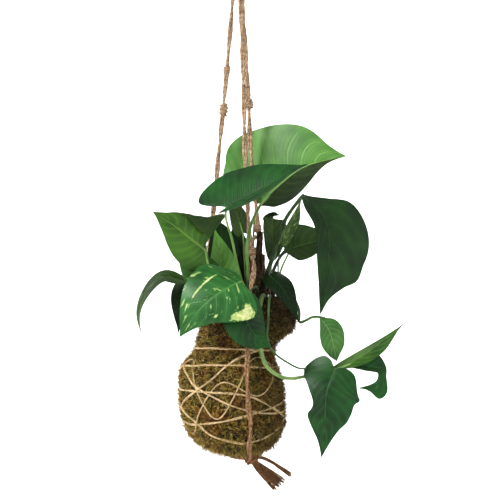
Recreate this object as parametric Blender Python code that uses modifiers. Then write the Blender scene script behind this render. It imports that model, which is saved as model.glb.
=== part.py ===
"""A kokedama: a moss ball bound with straw twine, hung by three jute legs, with a heart-leaved vine in it.

Lengths in the tables are whole millimetres from the crown, the point where the stems leave the moss;
+X is right, +Y is away from the viewer and +Z is up. The object's own origin is the bearing point inside
the hanging loop.
"""

import math

import bmesh
import bpy
import mathutils
import numpy as np

MM = 0.001
CROWN_BELOW_ORIGIN = 431.5
OBJECT_NAME = "kokedama_plant"

BLADE_THICKNESS = 0.9
CLEAR = 0.5
STEPS_ACROSS = 60
SMALLEST_HALF_WIDTH = 0.5
FOOT_DEPTH = 12.0
OLD_STEMS_FOOT = 10.4

# ---------------------------------------------------------------- the moss ball: height, centre x, radius
MOSS = (
    (35, 26, 19), (27, 20, 35), (20, 13, 43), (12, 11, 47), (1, 8, 47), (-7, 2, 43), (-15, -2, 40),
    (-22, -3, 41), (-30, -6, 45), (-39, -7, 49), (-49, -6, 52), (-60, -6, 53.5), (-72, -6, 53),
    (-85, -5, 52.5), (-96, -3, 51), (-106, -3, 48), (-116, -1, 40), (-123, 0, 25), (-127, 1, 6),
)
SOIL = (
    (32, 22, 10), (29, 22, 20), (25, 21, 27), (18, 17, 30), (8, 10, 32), (-5, 4, 30), (-15, 0, 28),
    (-25, -3, 30), (-40, -6, 37), (-60, -6, 41), (-80, -6, 40), (-95, -4, 36), (-105, -3, 30),
    (-112, -2, 18),
)
MOUTH = ((21, 0, 22), (21, 0, 62))
MOUTH_RADIUS = 28.4
MOSS_SEGMENTS = 26
MOSS_RINGS = 21
SOIL_SEGMENTS = 20
SOIL_RINGS = 13

# ---------------------------------------------------------------- cords
TWINE = 2.6
TWINE_LIFT = 2.95
LEG = 5.4
LEG_LIFT = 7.6
LEG_SIDES = 2
THIN_SIDES = 1
TWINE_SIDES = 0

# Each loop of twine: its height at eight angles round the ball, from the right through the back.
TWINE_LOOPS = (
    (-20, -21, -22, -21, -19, -17, -17, -19),
    (-38, -40, -42, -42, -38, -35, -34, -37),
    (-80, -66, -44, -34, -36, -58, -77, -84),
    (-28, -50, -74, -86, -81, -55, -25, -19),
    (-66, -62, -68, -82, -94, -93, -85, -76),
    (-98, -78, -60, -56, -60, -61, -65, -84),
    (-70, -52, -40, -52, -80, -107, -112, -98),
)
TWINE_STEPS = 18

# The usual heart: how far along the rib, and how far out, at evenly spaced points of the margin.
ALONG = (-0.02, -0.75, -1.0, 0.08, 0.32, 0.56, 0.76, 0.90, 1.0)
OUT = (0.05, 0.34, 0.66, 0.96, 1.0, 0.80, 0.45, 0.15, 0.012)
ROOT = (0.0, 0.015, 0.04, 0.12, 0.32, 0.56, 0.77, 0.91, 1.0)

LARGE = (10, 3)
MIDDLE = (8, 2)
SMALL = (7, 2)

LEAVES = (
    dict(name="leaf_crown_large", rib=((25, 14, 134), (45, 9, 154), (72, 4, 173), (114, 0, 184)),
         up=((-.45, -.75, .5), (-.1, -.85, .5)),
         left=((-.03, 3), (-.10, 24), (-.15, 48), (-.02, 65), (.22, 75), (.5, 64), (.74, 43), (.88, 17),
               (.96, 5),
               (1, .5)),
         right=((-.02, 2), (.02, 8), (.08, 18), (.25, 30), (.45, 32), (.62, 25), (.74, 15), (.84, 6),
                (.93, 2),
                (1, .5)),
         fold=(20, -80), curl=(-10, -15), wave=1.0, grid=LARGE,
         stalk=((14, -8, 34), (12, -16, 48), (11, -23, 66), (10, -27, 90), (15, -21, 113), (21, -6, 126),
                (25, 14, 134)), thick=4.0),
    dict(name="leaf_crown_front", rib=((-11, -64, 128), (13, -62, 138), (44, -58, 157), (72, -52, 173)),
         up=((-.3, -.6, .75), (-.3, -.5, .8)),
         left=((-.03, 3), (-.20, 12), (-.24, 20), (-.15, 31), (.06, 40), (.3, 42), (.55, 34), (.8, 15),
               (.93, 4),
               (1, .5)),
         right=22, fold=(25, 34), curl=(-16, -25), lobe=(.1, .1), full=(1, .9), wave=1.0, grid=LARGE,
         stalk=((12, -14, 33), (8, -20, 43), (1, -29, 66), (-5, -43, 95), (-11, -58, 116),
                (-11, -64, 128)), thick=3.2),
    dict(name="leaf_left_folded", rib=((-33, -34, 85), (-47, -40, 95), (-65, -46, 110), (-86, -50, 124)),
         up=((-.1, -.8, .5), (-.1, -.9, .4)),
         left=((-.02, 2), (-.12, 12), (-.10, 20), (.1, 27), (.35, 27), (.6, 20), (.8, 10), (.93, 3),
               (1, .5)),
         right=((0, 2), (.06, 9), (.08, 18), (.03, 30), (-.03, 40), (-.03, 49), (.10, 68), (.24, 60),
                (.38, 47),
                (.5, 35), (.62, 24), (.8, 10), (1, .5)),
         fold=(0, 3), curl=(-10, 172), hinge=(0, .66), taper=(0, 1), crease=(1, .06), wave=1.0, grid=(12, 5),
         stalk=((5, -16, 31), (-4, -24, 39), (-18, -32, 51), (-29, -36, 68), (-33, -34, 85)), thick=4.0),
    dict(name="leaf_left_narrow", rib=((-13, -14, 43), (-16, -10, 73), (-24, -6, 108)),
         up=((-.2, -1, .1), (-.2, -1, .2)), left=15, right=17, fold=(30, 10), curl=(0, 0),
         lobe=(.05, .05), wave=.5,
         grid=SMALL, stalk=((5, -4, 34), (-3, -7, 38), (-13, -14, 43)), thick=2.4),
    dict(name="leaf_front_cream", rib=((4, -56, 53), (-11, -68, 46), (-35, -74, 28), (-58, -66, -3)),
         up=((0, -.6, .8), (-.1, -.9, .35)),
         left=((0, 2), (0, 9), (.01, 19), (.05, 30), (.14, 38), (.28, 41), (.44, 37), (.61, 28), (.78, 15),
               (.88, 7), (.95, 3), (1, .5)),
         right=((-.02, 2), (-.06, 8), (-.05, 17), (.02, 27), (.16, 36), (.4, 39), (.62, 32), (.8, 18),
                (.92, 7),
                (1, .5)),
         fold=(-16, 10), curl=(-16, -12), wave=1.0, grid=LARGE,
         stalk=((12, -20, 31), (10, -34, 41), (6, -48, 51), (4, -56, 53)), thick=3.4),
    dict(name="leaf_left_curled",
         rib=((-58, -24, 54), (-77, -28, 57), (-93, -32, 42), (-102, -30, 20), (-99, -22, -7)),
         up=((-.1, -.65, .75), (-.6, -.65, .3), (-.9, -.4, -.1)), left=9, right=9, fold=(10, 10),
         curl=(0, -20),
         lobe=(.05, .05), wave=.6, grid=(10, 2),
         stalk=((-1, -1, 31), (-8, -4, 38), (-20, -9, 42), (-39, -16, 42), (-52, -21, 47),
                (-58, -24, 54)), thick=2.6),
    dict(name="leaf_left_low", rib=((-50, -6, 50), (-59, -8, 33), (-62, -6, -2)),
         up=((-.1, -.9, .5), (-.2, -1, .1)), left=16, right=13, fold=(0, 0), curl=(0, 0), lobe=(.1, .1),
         wave=.5,
         grid=SMALL, stalk=((1, 6, 31), (-8, 5, 39), (-24, 0, 45), (-38, -4, 50), (-50, -6, 50)), thick=2.6),
    dict(name="leaf_left_streaked", rib=((-26, -26, 46), (-43, -22, 68), (-65, -20, 95)),
         up=((-.1, -.9, .4), (-.1, -1, .2)), left=20, right=20, fold=(5, 5), curl=(-20, -20),
         lobe=(.12, .12),
         wave=1.0, grid=MIDDLE, stalk=((0, -9, 31), (-8, -17, 37), (-17, -22, 41), (-26, -26, 46)),
         thick=2.6),
    dict(name="leaf_front_low", rib=((6, -62, 34), (11, -66, 12), (21, -68, -4), (35, -68, -14)),
         up=((.1, -.8, .6), (.1, -.9, .3)), left=19, right=24, fold=(0, 0), curl=(-20, -20),
         lobe=(.1, .1), wave=.8,
         grid=MIDDLE, stalk=((20, -21, 31), (21, -32, 42), (20, -45, 47), (14, -58, 44), (6, -62, 34)),
         thick=2.6),
    dict(name="leaf_collar_right", rib=((34, -8, 59), (49, -20, 43), (64, -25, 10)),
         up=((.3, -.8, .5), (.4, -.9, .1)), left=15, right=12, fold=(0, 0), curl=(-20, -20), lobe=(.03, .03),
         wave=.6, grid=SMALL, stalk=((30, -7, 33), (30, -6, 48), (34, -8, 59)), thick=2.6),
    dict(name="leaf_right_hanging", rib=((69, 4, 143), (94, -4, 114), (95, -8, 72), (87, -4, 18)),
         up=((0, -.9, .3), (.1, -.95, .1)),
         left=((0, 1), (.1, 9), (.2, 20), (.28, 34), (.42, 42), (.55, 43), (.68, 38), (.77, 33),
               (.82, 20), (.9, 7),
               (1, .5)),
         right=((0, 1), (.05, 6), (.15, 11), (.3, 14), (.5, 14), (.7, 11), (.85, 6), (1, .5)),
         fold=(0, 10), curl=(-20, -20), wave=1.0, grid=LARGE,
         stalk=((25, 4, 35), (30, 3, 56), (38, 3, 80), (50, 4, 116), (69, 4, 143)), thick=5.4),
    dict(name="leaf_back_arched", rib=((36, 10, 72), (37, 12, 98), (37, 20, 118), (38, 34, 126)),
         up=((0, .95, .2), (0, .9, .4), (0, .2, .95)),
         left=((0, 1), (.05, 5), (.16, 10), (.32, 14), (.5, 15), (.66, 13), (.8, 9), (.92, 4), (1, .5)),
         right=((0, 1), (.05, 4), (.16, 7), (.32, 9), (.5, 10), (.66, 9), (.8, 7), (.92, 3), (1, .5)),
         fold=(5, 5), curl=(-20, -20), wave=0, grid=SMALL,
         stalk=((30, 12, 32), (34, 10, 52), (36, 10, 72)), thick=2.6),
    dict(name="leaf_back_narrow", rib=((46, -4, 92), (58, -4, 115), (67, -6, 139)),
         up=((-.6, -.8, .2), (-.6, -.8, .2)), left=5, right=10, fold=(0, 0), curl=(0, 0),
         lobe=(.05, .05), wave=.5,
         grid=SMALL, stalk=((42, 3, 30), (43, 3, 50), (43, 1, 72), (46, -4, 92)), thick=2.2),
    dict(name="leaf_right_side", rib=((49, 18, 83), (68, 22, 90), (107, 24, 100)),
         up=((0, -.9, .5), (0, -.9, .5)),
         left=((0, 1), (.06, 4), (.2, 10), (.3, 19), (.45, 27), (.62, 25), (.82, 12), (1, .5)),
         right=((0, 1), (.1, 4), (.2, 10), (.35, 15), (.6, 15), (.8, 8), (1, .5)),
         fold=(0, -10), curl=(-10, -40), wave=.5, grid=MIDDLE,
         stalk=((38, 9, 32), (37, 14, 46), (37, 20, 59), (42, 20, 72), (49, 18, 83)), thick=4.6),
    dict(name="leaf_vine_long", rib=((101, -28, -39), (92, -36, -61), (90, -38, -92), (87, -34, -129)),
         up=((0, -.8, .6), (0, -1, .2)),
         left=((-.02, 1), (-.05, 7), (-.05, 15), (0, 23), (.14, 30), (.3, 35), (.42, 36), (.48, 31),
               (.58, 28),
               (.67, 23), (.74, 16), (.84, 9), (.93, 4), (1, .5)),
         right=((-.02, 1), (-.1, 8), (-.12, 17), (-.03, 27), (.09, 31), (.2, 29), (.3, 21), (.42, 14),
                (.51, 13),
                (.6, 18), (.71, 14), (.84, 6), (.94, 2), (1, .5)),
         fold=(0, 0), curl=(-20, -20), wave=.6, grid=(13, 2),
         stalk=((34, -17, 31), (34, -30, 38), (33, -43, 33), (32, -52, 16), (31, -57, -6), (38, -52, -20),
                (52, -38, -31), (66, -24, -38), (80, -14, -37), (94, -14, -34), (101, -28, -39)), thick=2.8),
    dict(name="leaf_inner_young", rib=((6, 6, 103), (0, 4, 123), (-12, 0, 146)),
         up=((0, .9, .3), (0, .9, .3)),
         left=10, right=10, fold=(0, 0), curl=(0, 0), lobe=(.05, .05), wave=.5, grid=SMALL,
         stalk=((9, 3, 34), (8, 5, 66), (6, 6, 103)), thick=2.2),
    dict(name="leaf_inner_left", rib=((-1, 8, 38), (-12, 12, 72), (-19, 14, 115)),
         up=((-.1, -1, .1), (-.1, -1, .1)),
         left=((0, 1), (.04, 8), (.14, 14), (.35, 18), (.58, 18), (.78, 14), (.91, 8), (1, .5)),
         right=((0, 1), (.04, 8), (.14, 14), (.35, 17), (.58, 17), (.78, 14), (.91, 8), (1, .5)),
         fold=(0, 0), curl=(0, 0), wave=.5, grid=SMALL, stalk=((6, 9, 32), (2, 9, 34), (-1, 8, 38)),
         thick=2.8),
    dict(name="leaf_inner_middle", rib=((9, 14, 50), (2, 18, 80), (-2, 22, 123)),
         up=((-.1, -1, .1), (-.1, -1, .1)), left=17, right=16, fold=(0, 0), curl=(0, 0), lobe=(.02, .02),
         wave=.5,
         grid=SMALL, stalk=((13, 9, 34), (12, 11, 42), (9, 14, 50)), thick=2.6),
    dict(name="leaf_rear_high", rib=((20, 46, 140), (26, 60, 160), (34, 80, 172), (40, 104, 168)),
         up=((.2, .5, .8), (.1, .3, .95)), left=26, right=26, fold=(14, 14), curl=(-20, -20), wave=1.0,
         grid=MIDDLE,
         stalk=((20, 13, 34), (18, 26, 62), (17, 37, 100), (20, 46, 140)), thick=3.0),
    dict(name="leaf_rear_left", rib=((-30, 52, 82), (-42, 66, 92), (-56, 84, 90), (-66, 98, 78)),
         up=((-.2, .6, .8), (-.4, .8, .5)), left=28, right=28, fold=(12, 12), curl=(-20, -20), wave=1.0,
         grid=MIDDLE, stalk=((6, 16, 31), (-4, 28, 50), (-18, 42, 70), (-30, 52, 82)), thick=3.0),
    dict(name="leaf_rear_right", rib=((56, 52, 84), (68, 64, 90), (82, 78, 90), (96, 92, 82)),
         up=((.2, .5, .85), (.3, .6, .7)), left=18, right=18, fold=(12, 12), curl=(-25, -25), wave=1.0,
         grid=MIDDLE,
         stalk=((36, 16, 30), (41, 33, 45), (47, 45.5, 65), (56, 52, 84)), thick=3.0),
    dict(name="leaf_rear_low", rib=((10, 50, 50), (8, 64, 46), (4, 76, 26), (0, 80, -4)),
         up=((0, .7, .7), (0, 1, .1)), left=25, right=25, fold=(8, 8), curl=(-25, -25), wave=1.0,
         grid=MIDDLE,
         stalk=((14, 20, 31), (12, 36, 44), (10, 50, 50)), thick=2.8),
    dict(name="leaf_rear_side", rib=((-34, 52, 50), (-43, 62, 44), (-49, 67, 27), (-52, 69, 2)),
         up=((-.3, .6, .75), (-.4, .9, .2)), left=14, right=12, fold=(8, 8), curl=(-25, -25), wave=.8,
         grid=MIDDLE,
         stalk=((1, 13, 31), (-6, 20, 40), (-16, 35, 48), (-26, 46, 52), (-34, 52, 50)), thick=2.6),
)

# Two vines, each with its own leaves.
VINES = (
    dict(name="vine_right", thick=4.6,
         route=((27, -20, 31), (27, -31, 38), (25, -43, 34), (22, -50, 16), (23, -52, -10), (29, -51, -32),
                (42, -42, -44), (56, -30, -48), (68, -19, -47), (82, -12, -46), (98, -10, -42),
                (120, -12, -34)),
         leaves=(
             dict(rib=((103, -10, -41), (136, -13, -22), (173, -14, 8)),
                  up=((-.2, -.3, .9), (-.2, -.3, .9)), left=8,
                  right=((0, 1), (.1, 3), (.25, 9), (.45, 14), (.65, 13), (.8, 8), (.92, 3), (1, .5)),
                  fold=(30, -20), curl=(0, 0), wave=.5, grid=(9, 2)),
             dict(rib=((118, -13, -34), (134, -13, -37), (149, -13, -41), (146, -14, -53), (127, -16, -59)),
                  up=((0, -1, .1), (0, -1, .1)),
                  left=((0, 1), (.1, 3), (.22, 5), (.34, 12), (.40, 15), (.5, 8), (.6, 6), (.68, 9),
                        (.76, 16),
                        (.82, 16), (.87, 8), (.93, 3), (1, .5)),
                  right=4, fold=(0, 0), curl=(0, 0), lobe=(0, 0), wave=.5, grid=(14, 2)),
         )),
    dict(name="vine_side", thick=3.8,
         route=((41, -4, 30), (49, -5, 38), (58, -8, 36), (64.5, -10, 22), (65, -10, 10), (71, -8, 11),
                (80, -6, 15),
                (92, -7, 14)),
         leaves=(
             dict(rib=((87, -6, 14), (97, -10, -2), (104, -8, -31)), up=((0, -.9, .3), (0, -.9, .3)),
                  left=((0, 1), (.08, 5), (.25, 12), (.5, 15), (.75, 12), (.9, 5), (1, .5)),
                  right=((0, 1), (.2, 6), (.45, 11), (.7, 12), (.88, 7), (1, .5)),
                  fold=(0, 0), curl=(-20, 0), lobe=(0, 0), wave=.5, grid=SMALL),
         )),
)

# Old stems of the crown: routes and diameters, joined at the foot.
OLD_STEMS = (
    (((18, 0, 35), (20, -1, 52), (22, -1, 72), (24, 0, 104)), 8.4),
    (((18, 0, 35), (15, 0, 50), (14, 2, 66), (15, 5, 84)), 5.6),
    (((18, 0, 35), (23, -3, 47), (26, -4, 62), (27, -3, 80)), 6.2),
)

LEG_ROUTES = {
    "leg_front": ((0, -3.6, 377.1), (3, -6, 347), (5, -8, 305), (7, -10, 237), (8, -12, 189), (11, -13, 129),
                  (14, -14, 84), (17, -20, 73), (17, -30, 61), (14, -43, 46), (12, -53, 28), (12, -57, 8),
                  (11, -59, -20), (10, -61.5, -45)),
    "leg_right": ((3.3, 1.9, 377.1), (5, 3, 347), (8, 5, 305), (12, 7, 237), (14, 9, 191), (20.5, 11.5, 122),
                  (22, 13, 106), (24, 22, 86), (29, 38, 58), (37, 46, 32), (41, 49, 12), (38, 47, -20)),
    "leg_left": ((-3.3, 1.9, 377.1), (-5, 3, 347), (-11, 7, 275), (-15, 11, 233), (-20, 14, 185),
                 (-23, 17, 150),
                 (-30, 27, 85), (-34, 39, 32), (-37, 42, 8), (-40, 43, -24)),
}
# Where each leg lies on the ball, as an angle round it, and how it comes in to the gather below.
LEG_ANGLES = {"leg_front": -73, "leg_right": 45, "leg_left": 132}
LEG_HEIGHTS = (-60, -74, -88, -101, -112)
LEG_ENDS = {
    "leg_front": ((13, -30, -127), (13.6, -11.5, -132.6)),
    "leg_right": ((28, 22, -127), (17.8, 2.4, -132.8)),
    "leg_left": ((-18, 26, -127), (-4, 11.6, -132.4), (8.1, 0.9, -133.6)),
}
LEG_KNOTS = {
    "leg_front": (((14, -14, 83), (5.8, 4.8, 4.8)),),
    "leg_right": (((12, 7, 239), (5.6, 5.0, 5.4)), ((21.5, 12.6, 108), (4.4, 4.4, 6))),
    "leg_left": (((-14.5, 10, 233), (5.2, 5.0, 7)), ((-11, 7, 275), (4.4, 4.4, 4.2))),
}
LASHING = ((14, -14, 83), (16, -7, 91), (19.6, 4.6, 100))
LASHING_THICK = 3.0

# The hanging loop and its knot; the loop's inner top is the origin.
LOOP = (
    (2, 392), (5.5, 397), (8.6, 405), (10.4, 414), (10.6, 422), (8.4, 429.4), (4.6, 433.2), (0, 434.2),
    (-4.6, 433.2), (-8.4, 429.4), (-10.6, 422), (-10.4, 414), (-8.6, 405), (-5.5, 397), (-2, 392),
)
LOOP_KNOT = ((0, 0, 387), (8.0, 7.2, 9.6))

GATHER_KNOT = ((14, -4, -133.6), (7.4, 6.6, 6.2))
TASSEL = (
    (((14, -4, -134), (26, -6, -150), (42, -8, -166)), 5.0),
    (((14, -4, -134), (29, -4, -148), (47, -4, -163)), 5.0),
    (((14, -4, -134), (31, -2, -145), (51, 0, -159)), 4.6),
    (((14, -4, -133), (27, 1, -147), (42, 5, -162)), 4.6),
    (((16, -4, -131), (30, -5, -134), (47, -6, -144), (58, -6, -152)), 3.8),
)

COLOURS = {
    "leaf": (0.10, 0.27, 0.08), "vine": (0.25, 0.36, 0.12), "moss": (0.16, 0.14, 0.05),
    "soil": (0.05, 0.035, 0.02),
    "twine": (0.55, 0.42, 0.22), "jute": (0.42, 0.27, 0.15), "stem": (0.12, 0.09, 0.04),
}


def spline(knots, t):
    """A smooth line through evenly spaced knots, read at t from 0 to 1."""
    k = np.asarray(knots, float)
    flat = k.ndim == 1
    if flat:
        k = k[:, None]
    n = len(k) - 1
    t = np.clip(np.asarray(t, float), 0, 1) * n
    i = np.minimum(t.astype(int), n - 1)
    f = (t - i)[..., None]
    a = np.vstack([2 * k[0] - k[1], k, 2 * k[-1] - k[-2]])
    p0, p1, p2, p3 = a[i], a[i + 1], a[i + 2], a[i + 3]
    cubic = 3 * p1 - p0 - 3 * p2 + p3
    square = 2 * p0 - 5 * p1 + 4 * p2 - p3
    r = 0.5 * (2 * p1 + (p2 - p0) * f + square * f ** 2 + cubic * f ** 3)
    return r[..., 0] if flat else r


def unit(v):
    return v / np.maximum(np.linalg.norm(v, axis=-1, keepdims=True), 1e-9)


def side_outline(shape, lobe, full):
    """The margin of one half of a leaf, as (along the rib, out from it) knots."""
    if isinstance(shape, tuple):
        return np.array(shape, float)
    along = np.array(ALONG)
    along = np.where(along < 0, along * lobe, np.abs(along) ** full)
    return np.stack([along, np.array(OUT) * shape], -1)


def leaf_points(leaf, rows, cols):
    """The blade's middle surface, a row at a time: from the left margin across the rib to the right one."""
    s = np.linspace(0, 1, rows + 1)
    rib = np.asarray(leaf["rib"], float)
    run = spline(rib, np.linspace(0, 1, 33))
    length = float(np.sum(np.linalg.norm(np.diff(run, axis=0), axis=1)))
    ups = unit(np.asarray(leaf["up"], float))
    halves = []
    for k, side in enumerate(("left", "right")):
        sign = 1 - 2 * k
        lobe = leaf.get("lobe", (.12, .12))[k]
        full = leaf.get("full", (1, 1))[k]
        margin = side_outline(leaf[side], lobe, full)
        q = spline(margin, s)
        along, out = q[:, 0], np.maximum(q[:, 1], SMALLEST_HALF_WIDTH)
        root = np.clip(spline(np.array(ROOT), s), 0, 1)
        root = np.clip(0.35 * root + 0.65 * np.maximum(along, 0) ** 1.15, 0, 1)
        root = np.maximum.accumulate(root)
        v = np.linspace(0, 1, cols + 1)
        u = root[:, None] + (along - root)[:, None] * v[None, :] ** 1.5
        width = v[None, :] * out[:, None]
        hinge = leaf.get("hinge", (0, 0))[k] * (1 - leaf.get("taper", (0, 0))[k] * np.clip(u, 0, 1))
        crease = leaf.get("crease", (1, 1))[k]
        x = np.zeros_like(width)
        z = np.zeros_like(width)
        for i in range(STEPS_ACROSS):
            d = width * (i + .5) / STEPS_ACROSS / margin[:, 1].max()
            bend = np.clip((d - hinge) / crease, 0, 1)
            angle = np.radians(leaf["fold"][k] + leaf["curl"][k] * bend)
            x += np.cos(angle) * width / STEPS_ACROSS
            z += np.sin(angle) * width / STEPS_ACROSS
        inside = np.clip(u, 0, 1)
        p = spline(rib, inside)
        step = 2e-3
        t = unit(spline(rib, np.clip(inside + step, 0, 1)) - spline(rib, np.clip(inside - step, 0, 1)))
        p = p + t * np.minimum(u, 0)[..., None] * length
        n = unit(spline(ups, inside))
        a = unit(np.cross(n, t))
        n = np.cross(t, a)
        ripple = np.sin(2 * math.pi * (2.2 * s[:, None] + 0.37 * k)) * np.sin(math.pi * s[:, None])
        z = z + leaf["wave"] * v[None, :] ** 2 * ripple
        halves.append(p + a * (sign * x)[..., None] + n * z[..., None])
    middle = 0.5 * (halves[0][:, :1] + halves[1][:, :1])
    return np.concatenate([halves[0][:, :0:-1], middle, halves[1][:, 1:]], axis=1)


def place(point):
    """A point of the tables, in metres from the origin."""
    return mathutils.Vector((point[0] * MM, point[1] * MM, (point[2] - CROWN_BELOW_ORIGIN) * MM))


def material(name, colour, roughness):
    made = bpy.data.materials.new(name)
    made.use_nodes = True
    shader = made.node_tree.nodes["Principled BSDF"]
    shader.inputs["Base Color"].default_value = (*colour, 1)
    shader.inputs["Roughness"].default_value = roughness
    return made


def collection(name):
    made = bpy.data.collections.new(name)
    bpy.context.scene.collection.children.link(made)
    return made


def new_object(name, mesh, where):
    made = bpy.data.objects.new(name, mesh)
    where.objects.link(made)
    return made


def mesh_of(bm, name):
    bmesh.ops.recalc_face_normals(bm, faces=bm.faces)
    mesh = bpy.data.meshes.new(name)
    bm.to_mesh(mesh)
    bm.free()
    return mesh


def keep_largest_piece(bm):
    """Drops the crumbs that a join can leave beside the body it makes."""
    waiting = set(bm.verts)
    pieces = []
    while waiting:
        piece = set()
        edge = [waiting.pop()]
        while edge:
            vert = edge.pop()
            piece.add(vert)
            near = {link.other_vert(vert) for link in vert.link_edges} & waiting
            waiting -= near
            edge.extend(near)
        pieces.append(piece)
    pieces.sort(key=len)
    crumbs = [vert for piece in pieces[:-1] for vert in piece]
    bmesh.ops.delete(bm, geom=crumbs, context="VERTS")


def applied(obj):
    """The object with its modifiers, or its curve, made into a plain closed mesh of its own."""
    graph = bpy.context.evaluated_depsgraph_get()
    mesh = bpy.data.meshes.new_from_object(obj.evaluated_get(graph))
    bm = bmesh.new()
    bm.from_mesh(mesh)
    bpy.data.meshes.remove(mesh)
    bmesh.ops.remove_doubles(bm, verts=bm.verts, dist=2e-6)
    bmesh.ops.triangulate(bm, faces=bm.faces)
    keep_largest_piece(bm)
    mesh = mesh_of(bm, obj.name)
    where = obj.users_collection[0]
    made = bpy.data.objects.new("made", mesh)
    where.objects.link(made)
    made.matrix_world = obj.matrix_world.copy()
    name = obj.name
    bpy.data.objects.remove(obj)
    made.name = name
    return made


def tube(name, points, thick, sides, where, taper=1.0, closed=False):
    """A round cord or stem through the points, as a mesh."""
    curve = bpy.data.curves.new(name, "CURVE")
    curve.dimensions = "3D"
    curve.bevel_depth = thick / 2 * MM
    curve.bevel_resolution = sides
    curve.use_fill_caps = not closed
    line = curve.splines.new("POLY")
    line.points.add(len(points) - 1)
    last = len(points) - 1
    for i, point in enumerate(points):
        line.points[i].co = (*place(point), 1)
        line.points[i].radius = 1 + (taper - 1) * i / last
    line.use_cyclic_u = closed
    return applied(new_object(name, curve, where))


def ball(name, centre, radii, where, segments=10, rings=7):
    bm = bmesh.new()
    bmesh.ops.create_uvsphere(bm, u_segments=segments, v_segments=rings, radius=1)
    for vert in bm.verts:
        x, y, z = vert.co
        vert.co = place((centre[0] + x * radii[0], centre[1] + y * radii[1], centre[2] + z * radii[2]))
    return new_object(name, mesh_of(bm, name), where)


def boolean(obj, others, operation, where, solver="MANIFOLD"):
    """The object joined with, or cut by, the others, which are used up."""
    group = bpy.data.collections.new("operands")
    for other in others:
        where.objects.unlink(other)
        group.objects.link(other)
    modifier = obj.modifiers.new("boolean", "BOOLEAN")
    modifier.operation = operation
    modifier.operand_type = "COLLECTION"
    modifier.collection = group
    modifier.solver = solver
    bpy.context.scene.collection.children.link(group)
    made = applied(obj)
    for other in list(group.objects):
        bpy.data.objects.remove(other)
    bpy.data.collections.remove(group)
    return made


def section(table, height):
    """Centre x and radius of a body at a height, from its table."""
    heights = [row[0] for row in reversed(table)]
    centre = np.interp(height, heights, [row[1] for row in reversed(table)])
    radius = np.interp(height, heights, [row[2] for row in reversed(table)])
    return float(centre), float(radius)


def lump(angle, height):
    low = 1.1 * math.sin(3 * angle + 0.06 * height + 1.0) + 0.8 * math.sin(5 * angle - 0.09 * height + 2.0)
    return low + 0.3 * math.sin(8 * angle + 0.13 * height)


def moss_point(angle, height):
    """A point of the moss's outside."""
    centre, radius = section(MOSS, height)
    radius = radius + lump(angle, height)
    return np.array([centre + radius * math.cos(angle), radius * math.sin(angle), height])


def moss_lifted(degrees, height, lift):
    """A point held off the moss's outside by a distance, square to it."""
    angle = math.radians(degrees)
    p = moss_point(angle, height)
    round_it = moss_point(angle + 0.02, height) - moss_point(angle - 0.02, height)
    down_it = moss_point(angle, height - 3) - moss_point(angle, height + 3)
    normal = np.cross(down_it, round_it)
    normal = normal / np.linalg.norm(normal)
    if normal[0] * math.cos(angle) + normal[1] * math.sin(angle) < 0:
        normal = -normal
    return p + normal * lift


def turned_body(name, table, grow, lumpy, segments, rings, where):
    """A closed body through a table of heights, centres and radii, its poles a little past the ends."""
    bm = bmesh.new()
    bmesh.ops.create_uvsphere(bm, u_segments=segments, v_segments=rings, radius=1)
    rows = np.array(table, float)
    top = rows[0, 0] + 1.0 + grow
    low = rows[-1, 0] - 1.0 - grow
    for vert in bm.verts:
        across = math.hypot(vert.co.x, vert.co.y)
        share = math.atan2(across, vert.co.z) / math.pi
        if across < 1e-6:
            end = rows[0] if vert.co.z > 0 else rows[-1]
            vert.co = place((end[1], 0, top if vert.co.z > 0 else low))
            continue
        t = (share * rings - 1) / (rings - 2)
        height, centre, radius = spline(rows, t)
        height = height + grow * vert.co.z
        angle = math.atan2(vert.co.y, vert.co.x)
        radius = radius + grow
        if lumpy:
            radius = radius + lump(angle, height)
        vert.co = place((centre + radius * math.cos(angle), radius * math.sin(angle), height))
    return new_object(name, mesh_of(bm, name), where)


def stalk_points(leaf):
    """A stalk's line: a straight foot in the soil, the route, and an end laid along the blade's rib."""
    route = np.asarray(leaf["stalk"], float)
    count = max(5, len(route) + 2)
    line = spline(route, np.linspace(0, 1, count))
    rib = np.asarray(leaf["rib"], float)
    along = unit(rib[1] - rib[0])
    above = unit(np.asarray(leaf["up"][0], float))
    tail = rib[0] + along * 6.0 - above * 0.9
    return [foot_of(leaf), *line[:-1], line[-1] - above * 0.4, tail]


def foot_of(leaf):
    route = np.asarray(leaf.get("stalk", leaf.get("route")), float)
    start = unit(spline(route, 0.04) - route[0])
    return route[0] - unit(start * 0.3 + np.array([0, 0, 0.7])) * FOOT_DEPTH


def blade(leaf, name, where):
    """A leaf's blade as a thin solid of even thickness."""
    rows, cols = leaf["grid"]
    points = leaf_points(leaf, rows, cols)
    across = 2 * cols
    bm = bmesh.new()
    bmesh.ops.create_grid(bm, x_segments=across, y_segments=rows, size=1)
    for vert in bm.verts:
        i = round((vert.co.y + 1) / 2 * rows)
        j = round((vert.co.x + 1) / 2 * across)
        vert.co = place(points[i][j])
    bmesh.ops.triangulate(bm, faces=bm.faces, quad_method="SHORT_EDGE")
    made = new_object(name, mesh_of(bm, name), where)
    solid = made.modifiers.new("thickness", "SOLIDIFY")
    solid.thickness = BLADE_THICKNESS * MM
    solid.offset = 0
    return applied(made)


def leaf_with_stalk(leaf, where):
    made = blade(leaf, leaf["name"], where)
    stalk = tube("stalk", stalk_points(leaf), leaf["thick"], THIN_SIDES, where, taper=0.62)
    return boolean(made, [stalk], "UNION", where)


def vine_with_leaves(vine, where):
    route = np.asarray(vine["route"], float)
    line = spline(route, np.linspace(0, 1, 2 * len(route)))
    stem = tube(vine["name"], [foot_of(vine), *line], vine["thick"], THIN_SIDES, where, taper=0.7)
    blades = [blade(leaf, f"blade_{i}", where) for i, leaf in enumerate(vine["leaves"])]
    return boolean(stem, blades, "UNION", where)


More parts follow.
